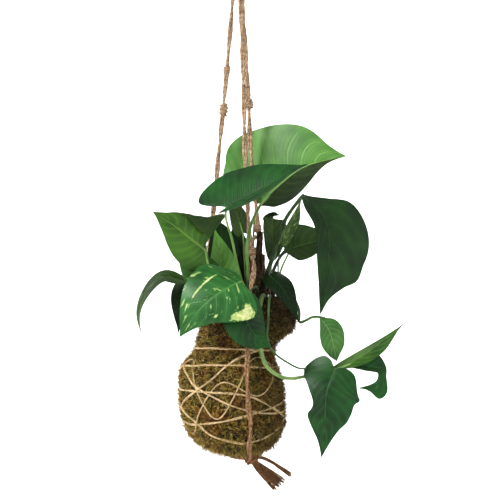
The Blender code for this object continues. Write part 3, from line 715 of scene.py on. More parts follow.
@dataclass(frozen=True)
class MossFinish:
    """Moss: olive and brown fibres over gaps darkened as painted shade; strands darken towards their roots
    as painted shade.
    """

    name: str
    # gap is the near-black used as painted shade between and under the strands, and also one of the strands'
    # own tints.
    gap: Colour = srgb(18, 13, 4)
    olive: Colour = srgb(150, 134, 50)
    brown: Colour = srgb(168, 114, 54)
    straw: Colour = srgb(250, 226, 150)
    # The colour of the painted highlight on the high noise patches.
    gold_highlight: Colour = srgb(206, 166, 62)
    # The heights, in metres, over which the top of the ball round the crown goes over to painted shade, and
    # how far right of the middle the right side's painted shade starts and is at its full.
    mouth_low: float = -0.446
    mouth_high: float = -0.412
    shaded_from: float = 0.004
    shaded_to: float = 0.040

    def ground(self) -> bpy.types.Material:
        """Makes the matted ground under the strands, dark in the low places of its tuft bump as painted
        shade.
        """
        nodes = Nodes(self.name + "_ground")
        place = nodes.place()
        broad = nodes.noise(place, 45.0, 3.0)
        tufts = nodes.noise(place, 420.0, 6.0, 0.7)
        hue = nodes.blend(nodes.span(broad, 0.4, 0.62), self.olive, self.brown)
        nodes.bump(tufts, 1.0, 0.002)
        # Painted shade: the low places of the tuft bump take the gap colour.
        matted = nodes.blend(nodes.span(tufts, 0.42, 0.8), self.gap, hue)
        return nodes.shade(Base_Color=matted, Roughness=0.95, Specular_IOR_Level=0.15)

    def strand(self) -> bpy.types.Material:
        """Makes the strands' material, read from each strand's own tint and its height, with painted shade
        at the roots, round the crown, on the right side and in low noise patches, and a painted yellow
        highlight on high ones.
        """
        nodes = Nodes(self.name + "_strands")
        tint, height = nodes.marks()
        place = nodes.place()
        broad = nodes.noise(place, 45.0, 3.0)
        stops = ((0.0, self.gap), (0.24, srgb(52, 42, 14)), (0.38, self.olive), (0.56, srgb(204, 188, 92)),
                 (0.70, self.brown), (0.84, srgb(212, 178, 108)), (1.0, self.straw))
        hues = nodes.steps(tint, stops)
        rust = nodes.span(broad, 0.50, 0.64, 0.0, 0.65)
        patch = nodes.blend(rust, hues, srgb(150, 92, 36))
        green = nodes.span(nodes.noise(place, 24.0, 2.0), 0.5, 0.66, 0.0, 0.4)
        patch = nodes.blend(green, patch, srgb(98, 106, 30))
        # Painted shade: each strand darkens towards its root, where the strands shade one another.
        shade = nodes.blend(nodes.span(height, 0.0, 0.72, 0.95, 0.0), patch, self.gap)
        right, _, high = nodes.split(place)
        # Painted shade: the top of the ball, round the crown and under the leaves, goes towards the gap
        # colour.
        shade_under_leaves = nodes.span(high, self.mouth_low, self.mouth_high, 0.0, 0.8)
        # Painted light: high noise patches take a yellow highlight, and low ones take painted shade.
        clump_light_and_shade = nodes.noise(place, 170.0, 3.0, 0.6)
        shade = nodes.blend(nodes.span(clump_light_and_shade, 0.50, 0.62, 0.0, 0.32), shade, self.gold_highlight)
        shade = nodes.blend(nodes.span(clump_light_and_shade, 0.49, 0.37, 0.0, 0.85), shade, self.gap)
        # Painted shade: the right side, away from the key light, darkens towards a dark olive brown.
        right_side_shade = nodes.span(right, self.shaded_from, self.shaded_to, 0.0, 0.55)
        shade = nodes.blend(right_side_shade, shade, srgb(44, 34, 6))
        shade = nodes.blend(shade_under_leaves, shade, self.gap)
        return nodes.shade(Base_Color=shade, Roughness=0.85, Specular_IOR_Level=0.2)


@dataclass(frozen=True)
class FibreFinish:
    """Jute, straw or root fibre: long streaks along the cord, browner low down where asked, pale on its
    raised streaks partly as painted highlight, and dark between its fibres as painted shade.
    """

    name: str
    pale: Colour
    mid: Colour
    # The dark colour is painted shade between the fibres.
    dark: Colour
    low_pale: Optional[Colour] = None
    low_mid: Optional[Colour] = None
    streak: float = 7.0
    relief: float = 0.7
    pale_above: float = -0.30
    brown_below: float = -0.48

    def make(self) -> bpy.types.Material:
        """Makes the material."""
        nodes = Nodes(self.name)
        u, along = nodes.marks()
        place = nodes.place()
        wind = nodes.plus(nodes.times(u, self.streak), nodes.times(along, 4.0))
        broken = nodes.noise(nodes.vector(wind, nodes.times(along, 14.0), 0.0), 1.9, 7.0, 0.7)
        specks = nodes.noise(place, 1400.0, 3.0, 0.6)
        patches = nodes.noise(place, 90.0, 4.0)
        pale: Input = self.pale
        mid: Input = self.mid
        if self.low_pale and self.low_mid:
            low = nodes.span(nodes.split(place)[2], self.pale_above, self.brown_below)
            pale = nodes.blend(low, self.pale, self.low_pale)
            mid = nodes.blend(low, self.mid, self.low_mid)
        # The raised streaks of the bump run pale: the fibres' own tone, and in part painted highlight.
        body = nodes.blend(nodes.span(broken, 0.41, 0.61), mid, pale)
        body = nodes.blend(nodes.span(patches, 0.5, 0.74, 0.0, 0.55), body, mid)
        # Painted shade: the low places between the fibres take the dark colour.
        hollows = nodes.span(nodes.times(broken, specks), 0.27, 0.17, 0.0, 0.95)
        body = nodes.blend(hollows, body, self.dark)
        nodes.bump(nodes.plus(broken, nodes.times(specks, 0.6)), self.relief, 0.0009)
        return nodes.shade(Base_Color=body, Roughness=0.88, Specular_IOR_Level=0.2)


@dataclass(frozen=True)
class EarthFinish:
    """Damp potting soil."""

    name: str = "soil"

    def make(self) -> bpy.types.Material:
        """Makes the material."""
        nodes = Nodes(self.name)
        place = nodes.place()
        crumbs = nodes.noise(place, 380.0, 8.0, 0.7)
        broad = nodes.noise(place, 60.0, 3.0)
        dark = nodes.blend(nodes.span(broad, 0.4, 0.6), srgb(40, 28, 18), srgb(58, 42, 28))
        nodes.bump(crumbs, 1.0, 0.002)
        crumbled = nodes.blend(nodes.span(crumbs, 0.4, 0.7), dark, srgb(92, 70, 48))
        return nodes.shade(Base_Color=crumbled, Roughness=0.95)


class Tone(Enum):
    """The greens that the leaves come in, each with the record's slot that it belongs to."""

    LIGHT = "light"
    MID = "mid"
    FRESH = "fresh"
    DARK = "dark"
    # The next is a near-black green, painted shade for the leaves lying among and under the others.
    DEEP = "deep"
    DUSK = "dusk"
    LEAFY = "leafy"
    ASH = "ash"
    OLIVE = "olive"
    CREAM = "cream"
    STREAKED = "streaked"

    @property
    def slot(self) -> str:
        """The record's slot."""
        if self is Tone.LIGHT:
            return "leaf_light"
        if self in (Tone.CREAM, Tone.STREAKED, Tone.ASH):
            return "leaf_cream"
        if self in (Tone.MID, Tone.FRESH, Tone.OLIVE):
            return "leaf_mid"
        return "leaf_dark"


UPPER = {
    Tone.LIGHT: LeafFinish("leaf_upper_light", srgb(44, 98, 22), srgb(78, 134, 44), srgb(132, 178, 94),
                           0.5,
                           roughness=0.40, shine=0.4),
    Tone.MID: LeafFinish("leaf_upper_mid", srgb(20, 60, 8), srgb(60, 104, 22), srgb(112, 150, 58), 0.55,
                         relief=0.6),
    Tone.FRESH: LeafFinish("leaf_upper_fresh", srgb(46, 98, 26), srgb(92, 142, 54), srgb(140, 176, 88),
                           0.5),
    Tone.DARK: LeafFinish("leaf_upper_dark", srgb(3, 40, 5), srgb(17, 78, 18), srgb(40, 104, 36), 0.42,
                          roughness=0.34, shine=0.28, relief=0.9),
    # Painted shade: the near-black green of the leaves lying in the plant's shade.
    Tone.DEEP: LeafFinish("leaf_upper_in_shade", srgb(3, 22, 2), srgb(12, 42, 6), srgb(30, 66, 18), 0.35,
                          roughness=0.42, shine=0.14),
    Tone.DUSK: LeafFinish("leaf_upper_dusk", srgb(6, 36, 3), srgb(20, 60, 8), srgb(36, 80, 20), 0.45,
                          roughness=0.44, shine=0.26, slant=0.42, vein_pairs=6.0, relief=1.3),
    Tone.LEAFY: LeafFinish("leaf_upper_leafy", srgb(30, 78, 20), srgb(66, 114, 46), srgb(122, 158, 86),
                           0.6,
                           roughness=0.40, shine=0.3),
    Tone.ASH: LeafFinish("leaf_upper_ash", srgb(40, 66, 26), srgb(82, 108, 58), srgb(132, 150, 96), 0.5,
                         cream=0.9,
                         roughness=0.5, cream_colour=srgb(150, 164, 112)),
    Tone.OLIVE: LeafFinish("leaf_upper_olive", srgb(24, 48, 10), srgb(52, 84, 28), srgb(94, 124, 56), 0.45,
                           roughness=0.42, shine=0.3),
    Tone.CREAM: LeafFinish("leaf_upper_cream", srgb(10, 60, 14), srgb(44, 108, 42), srgb(84, 140, 70),
                           0.45,
                           cream=0.7,
                           patches=(Patch(-0.86, 0.34, 0.13, 0.17), Patch(-0.72, 0.24, 0.12, 0.07),
                                    Patch(0.50, 0.52, 0.03, 0.20)),
                           roughness=0.36, shine=0.28, relief=0.5),
    Tone.STREAKED: LeafFinish("leaf_upper_streaked", srgb(16, 60, 8), srgb(48, 98, 22),
                              srgb(110, 148, 60), 0.4,
                              cream=0.6, roughness=0.42),
}
# The undersides' olive, darkened in part as painted shade, since it also covers the crown leaf's hanging
# half.
UNDER = LeafFinish("leaf_underside", srgb(28, 50, 14), srgb(48, 73, 26), srgb(82, 106, 50), 0.5,
                   roughness=0.6)
STALK = StalkFinish("stalk_green", srgb(124, 160, 82), srgb(66, 108, 42))
DARK_STALK = StalkFinish("stalk_dark", srgb(48, 80, 32), srgb(20, 44, 14))
VINE_STALK = StalkFinish("vine_green", srgb(150, 180, 100), srgb(88, 128, 58), dark_foot=0.9)
VINE_DARK = StalkFinish("vine_dark", srgb(72, 104, 52), srgb(34, 62, 24), dark_foot=0.6)
MOSS_FINISH = MossFinish("moss")
TWINE_FINISH = FibreFinish("straw_twine", srgb(246, 224, 180), srgb(214, 178, 126), srgb(128, 92, 54),
                           streak=5.0)
JUTE_FINISH = FibreFinish("jute_cord", srgb(222, 194, 160), srgb(150, 112, 80), srgb(58, 36, 22),
                          low_pale=srgb(206, 164, 120), low_mid=srgb(116, 78, 48), relief=1.0)
TASSEL_FINISH = FibreFinish("jute_tassel", srgb(178, 132, 90), srgb(104, 66, 40), srgb(34, 20, 12),
                            relief=1.0)
STEM_FINISH = FibreFinish("old_stem", srgb(66, 50, 28), srgb(34, 26, 14), srgb(12, 10, 6), streak=4.0)
SHEATH_FINISH = FibreFinish("dry_sheath", srgb(112, 78, 52), srgb(62, 40, 24), srgb(24, 16, 10),
                            streak=5.0)
ROOT_FINISH = FibreFinish("root_thread", srgb(96, 70, 42), srgb(56, 40, 24), srgb(24, 18, 12))


class Wardrobe:
    """Makes each finish's material once, when it is first asked for."""

    def __init__(self) -> None:
        """Starts empty."""
        self.made: dict[str, bpy.types.Material] = {}

    def get(self, finish: Union[LeafFinish, StalkFinish, FibreFinish, EarthFinish]) -> bpy.types.Material:
        """The material of a finish."""
        if finish.name not in self.made:
            self.made[finish.name] = finish.make()
        return self.made[finish.name]

    def moss(self) -> tuple[bpy.types.Material, bpy.types.Material]:
        """The moss's ground and strand materials."""
        if "moss" not in self.made:
            self.made["moss"] = MOSS_FINISH.ground()
            self.made["moss_strands"] = MOSS_FINISH.strand()
        return self.made["moss"], self.made["moss_strands"]


def dress(piece: bpy.types.Object, slot: str, *nodes: str) -> bpy.types.Object:
    """Lets a piece ride with the object and stand for its nodes.

    Args:
        piece: the piece.
        slot: the record's material slot; not used.
        nodes: the nodes that it replaces.

    Returns:
        The same piece.
    """
    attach(piece, BODY)
    if nodes:
        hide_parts(*nodes)
    LOG.info("%s: %d faces", piece.name, len(piece.data.polygons))
    return piece


@dataclass(frozen=True)
class Leaf:
    """One heart-shaped leaf: a stalk, and a blade bent along its rib, whose halves fold and curl.

    Angles are in degrees, and pairs of numbers are for the left half and the right.

    Attributes:
        node: the node that it stands for.
        tone: its colours.
        rib: the points of its rib, from the base to the tip.
        up: the ways that its upper side faces, from the base to the tip.
        left: the left half's margin, as places along the rib and distances out, or the usual heart's width.
        right: the right half's margin, in the same way.
        fold: how far each half rises from the rib.
        curl: how much further it turns by its margin.
        wave: how high its margin ripples.
        hinge: how far across each half its curl starts.
        crease: over how much of the width the curl comes.
        taper: how much nearer the rib it starts at the tip.
        lobe: how far the usual heart reaches back behind the base.
        full: the power that spreads the usual heart along the rib.
        turned: whether each half's upper face takes the underside finish; on the crown leaf's hanging half
            that dark olive is painted shade.
        stalk: the points of its stalk, from the soil to the base.
        thick: how thick the stalk is at its foot.
        stem_finish: the stalk's finish.
    """

    node: str
    tone: Tone
    rib: tuple[Point, ...]
    up: tuple[Point, ...]
    left: Outline
    right: Outline
    fold: tuple[float, float] = (0, 0)
    curl: tuple[float, float] = (-20, -20)
    wave: float = 0.5
    hinge: tuple[float, float] = (0, 0)
    crease: tuple[float, float] = (1, 1)
    taper: tuple[float, float] = (0, 0)
    lobe: tuple[float, float] = (0.12, 0.12)
    full: tuple[float, float] = (1, 1)
    turned: tuple[bool, bool] = (False, False)
    stalk: tuple[Point, ...] = ()
    thick: float = 2.6
    stem_finish: StalkFinish = STALK

    # A blade's steps from base to tip, those from rib to margin, and those in which a half is bent.
    ROWS = 54
    COLUMNS = 11
    STEPS_ACROSS = 60
    # Its least half width, its thickness, how much of that is gone at the margin, and its rib underneath.
    SMALLEST_HALF_WIDTH = 0.5
    THICKNESS = 0.62
    EDGE_LOSS = 0.45
    RIB_DEPTH = 0.75
    RIB_WIDTH = 0.9
    # How much of a vein's root is the usual heart's, and the powers by which roots and veins run outwards.
    USUAL_ROOTS = 0.35
    ROOT_POWER = 1.15
    VEIN_POWER = 1.5
    # How many ripples each margin has, and how far the right one's are behind the left one's.
    RIPPLES = 2.2
    RIPPLE_LAG = 0.37
    # How far the skin swells between its veins and sinks over its rib, and how wide that groove is.
    SWELL = 0.22
    GROOVE = 0.35
    GROOVE_WIDTH = 1.3
    # How far along the rib, and how far under it, the points of the stalk's end lie.
    TAIL = ((3.0, 0.7), (7.0, 0.9), (12.0, 0.6))

    def margin(self, side: int) -> np.ndarray:
        """The margin of the left (0) or right (1) half: places along the rib and distances out from it."""
        shape = (self.left, self.right)[side]
        if isinstance(shape, tuple):
            return np.array(shape, float)
        along = np.array(ALONG)
        along = np.where(along < 0, along * self.lobe[side], np.abs(along) ** self.full[side])
        return np.stack([along, np.array(OUT) * shape], -1)

    def half(self, side: int) -> tuple[np.ndarray, np.ndarray]:
        """Lays out one half of the blade.

        Args:
            side: 0 for the left half, 1 for the right.

        Returns:
            The points of its middle surface, from the rib outwards, and the place of each across and along
            the leaf.
        """
        s = np.linspace(0, 1, self.ROWS + 1)
        v = np.linspace(0, 1, self.COLUMNS + 1)
        rib = np.asarray(self.rib, float)
        length = length_of(spline(rib, np.linspace(0, 1, 33)))
        ups = unit(np.asarray(self.up, float))
        margin = self.margin(side)
        q = spline(margin, s)
        along, out = q[:, 0], np.maximum(q[:, 1], self.SMALLEST_HALF_WIDTH)
        root = np.clip(spline(np.array(ROOT), s), 0, 1)
        own = np.maximum(along, 0) ** self.ROOT_POWER
        root = np.clip(self.USUAL_ROOTS * root + (1 - self.USUAL_ROOTS) * own, 0, 1)
        root = np.maximum.accumulate(root)
        u = root[:, None] + (along - root)[:, None] * v[None, :] ** self.VEIN_POWER
        width = v[None, :] * out[:, None]
        hinge = self.hinge[side] * (1 - self.taper[side] * np.clip(u, 0, 1))
        x = np.zeros_like(width)
        z = np.zeros_like(width)
        for i in range(self.STEPS_ACROSS):
            d = width * (i + .5) / self.STEPS_ACROSS / margin[:, 1].max()
            bend = np.clip((d - hinge) / self.crease[side], 0, 1)
            angle = np.radians(self.fold[side] + self.curl[side] * bend)
            x += np.cos(angle) * width / self.STEPS_ACROSS
            z += np.sin(angle) * width / self.STEPS_ACROSS
        inside = np.clip(u, 0, 1)
        p = spline(rib, inside)
        step = 2e-3
        t = unit(spline(rib, np.clip(inside + step, 0, 1)) - spline(rib, np.clip(inside - step, 0, 1)))
        p = p + t * np.minimum(u, 0)[..., None] * length
        n = unit(spline(ups, inside))
        a = unit(np.cross(n, t))
        n = np.cross(t, a)
        ripple = np.sin(2 * math.pi * (self.RIPPLES * s + self.RIPPLE_LAG * side)) * np.sin(math.pi * s)
        z = z + self.wave * v[None, :] ** 2 * ripple[:, None]
        z = z + self.quilting(u, v, width)
        sign = 1 - 2 * side
        marks = np.stack([np.broadcast_to(0.5 - 0.5 * sign * v[None, :], u.shape), u], axis=-1)
        return p + a * (sign * x)[..., None] + n * z[..., None], marks

    def quilting(self, u: np.ndarray, v: np.ndarray, width: np.ndarray) -> np.ndarray:
        """How far the skin sinks at its rib and veins and swells between them, in millimetres."""
        finish = UPPER[self.tone]
        phase = (u - finish.slant * v[None, :] ** VEIN_BEND) * finish.vein_pairs
        swell = self.SWELL * (0.5 - np.cos(2 * math.pi * phase) * 0.5) * np.sin(math.pi * v)[None, :]
        groove = -self.GROOVE * np.exp(-(width / self.GROOVE_WIDTH) ** 2)
        return swell * np.clip(width / 12, 0, 1) + groove

    def blade(self, sketch: Sketch, upper: int, under: int) -> None:
        """Adds the blade as a thin closed body.

        Args:
            sketch: what it is added to.
            upper: the slot of the upper skin.
            under: the slot of the underside.
        """
        left, left_marks = self.half(0)
        right, right_marks = self.half(1)
        middle = 0.5 * (left[:, :1] + right[:, :1])
        points = np.concatenate([left[:, :0:-1], middle, right[:, 1:]], axis=1)
        marks = np.concatenate([left_marks[:, ::-1], right_marks[:, 1:]], axis=1)
        down = np.gradient(points, axis=0)
        over = np.gradient(points, axis=1)
        normal = unit(np.cross(over, down))
        edge = np.abs(np.linspace(-1, 1, points.shape[1]))[None, :, None]
        rib = np.exp(-(edge * self.COLUMNS / self.RIB_WIDTH) ** 2)
        fading = np.linspace(1, 0.1, points.shape[0])[:, None, None]
        thick = self.THICKNESS * (1 - self.EDGE_LOSS * edge ** 4)
        top = points + normal * thick / 2
        low = points - normal * (thick / 2 + self.RIB_DEPTH * rib * fading)
        for side in (0, 1):
            part = slice(side * self.COLUMNS, (side + 1) * self.COLUMNS + 1)
            # A half so marked takes the underside finish on its upper face, as painted shade on the crown
            # leaf's hanging half.
            face = under if self.turned[side] else upper
            sketch.grid(top[:, part], marks[:, part], face)
            sketch.grid(low[:, part], marks[:, part], under, flip=True)
        for axis, end in ((1, 0), (1, -1), (0, 0), (0, -1)):
            rim = np.stack([low.take(end, axis), top.take(end, axis)], axis=1)
            mark = marks.take(end, axis)
            sketch.grid(rim, np.stack([mark, mark], axis=1), under, flip=end < 0)

    def stalk_line(self) -> np.ndarray:
        """The stalk's line: a foot in the soil, the route, and an end laid under the blade's rib."""
        route = np.asarray(self.stalk, float)
        foot = foot_of(route[0], unit(spline(route, np.array(0.04)) - route[0]))
        rib = np.asarray(self.rib, float)
        along = unit(rib[1] - rib[0])
        above = unit(np.asarray(self.up[0], float))
        line = even_line(self.stalk, 2.5)
        tail = [rib[0] + along * reach - above * drop for reach, drop in self.TAIL]
        return np.vstack([foot, line[:-1], line[-1] - above * 0.4, tail])

    def stem(self, sketch: Sketch, slot: int) -> None:
        """Adds the stalk, thickest at its foot and swollen a little where it meets the blade."""
        line = self.stalk_line()
        share = np.linspace(0, 1, len(line))
        radius = self.thick / 2 * (1 - 0.40 * share) * (1 + 0.16 * np.exp(-((share - 0.90) / 0.05) ** 2))
        radius[-1] *= 0.45
        sketch.tube(line, radius, 12, slot, ridges=2, depth=0.05)

    def build(self, wardrobe: Wardrobe) -> bpy.types.Object:
        """Makes the leaf, dressed.

        Args:
            wardrobe: the materials.

        Returns:
            The piece that stands for the leaf's node.
        """
        sketch = Sketch()
        self.blade(sketch, 0, 1)
        self.stem(sketch, 2)
        skins = [wardrobe.get(UPPER[self.tone]), wardrobe.get(UNDER), wardrobe.get(self.stem_finish)]
        return dress(sketch.build("fine_" + self.node, skins), self.tone.slot, self.node)


@dataclass(frozen=True)
class Vine:
    """A trailing green vine with its own leaves, and joints along it, which JOINTS places from 0 to 1."""

    node: str
    thick: float
    route: tuple[Point, ...]
    leaves: tuple[Leaf, ...]
    finish: StalkFinish = VINE_STALK

    JOINTS = (0.24, 0.46, 0.68, 0.88)

    def build(self, wardrobe: Wardrobe) -> bpy.types.Object:
        """Makes the vine and its leaves, dressed.

        Args:
            wardrobe: the materials.

        Returns:
            The piece that stands for the vine's node.
        """
        sketch = Sketch()
        skins = [wardrobe.get(self.finish), wardrobe.get(UNDER)]
        line = even_line(self.route, 2.0)
        line = np.vstack([foot_of(line[0], unit(line[1] - line[0])), line])
        share = np.linspace(0, 1, len(line))
        joints = sum(np.exp(-((share - at) / 0.012) ** 2) for at in self.JOINTS)
        radius = self.thick / 2 * (1 - 0.30 * share) * (1 + 0.20 * joints)
        sketch.tube(line, radius, 14, 0, ridges=3, depth=0.05, turn=0.004)
        for k, leaf in enumerate(self.leaves):
            skins.append(wardrobe.get(UPPER[leaf.tone]))
            leaf.blade(sketch, 2 + k, 1)
        return dress(sketch.build("fine_" + self.node, skins), "leaf_mid", self.node)


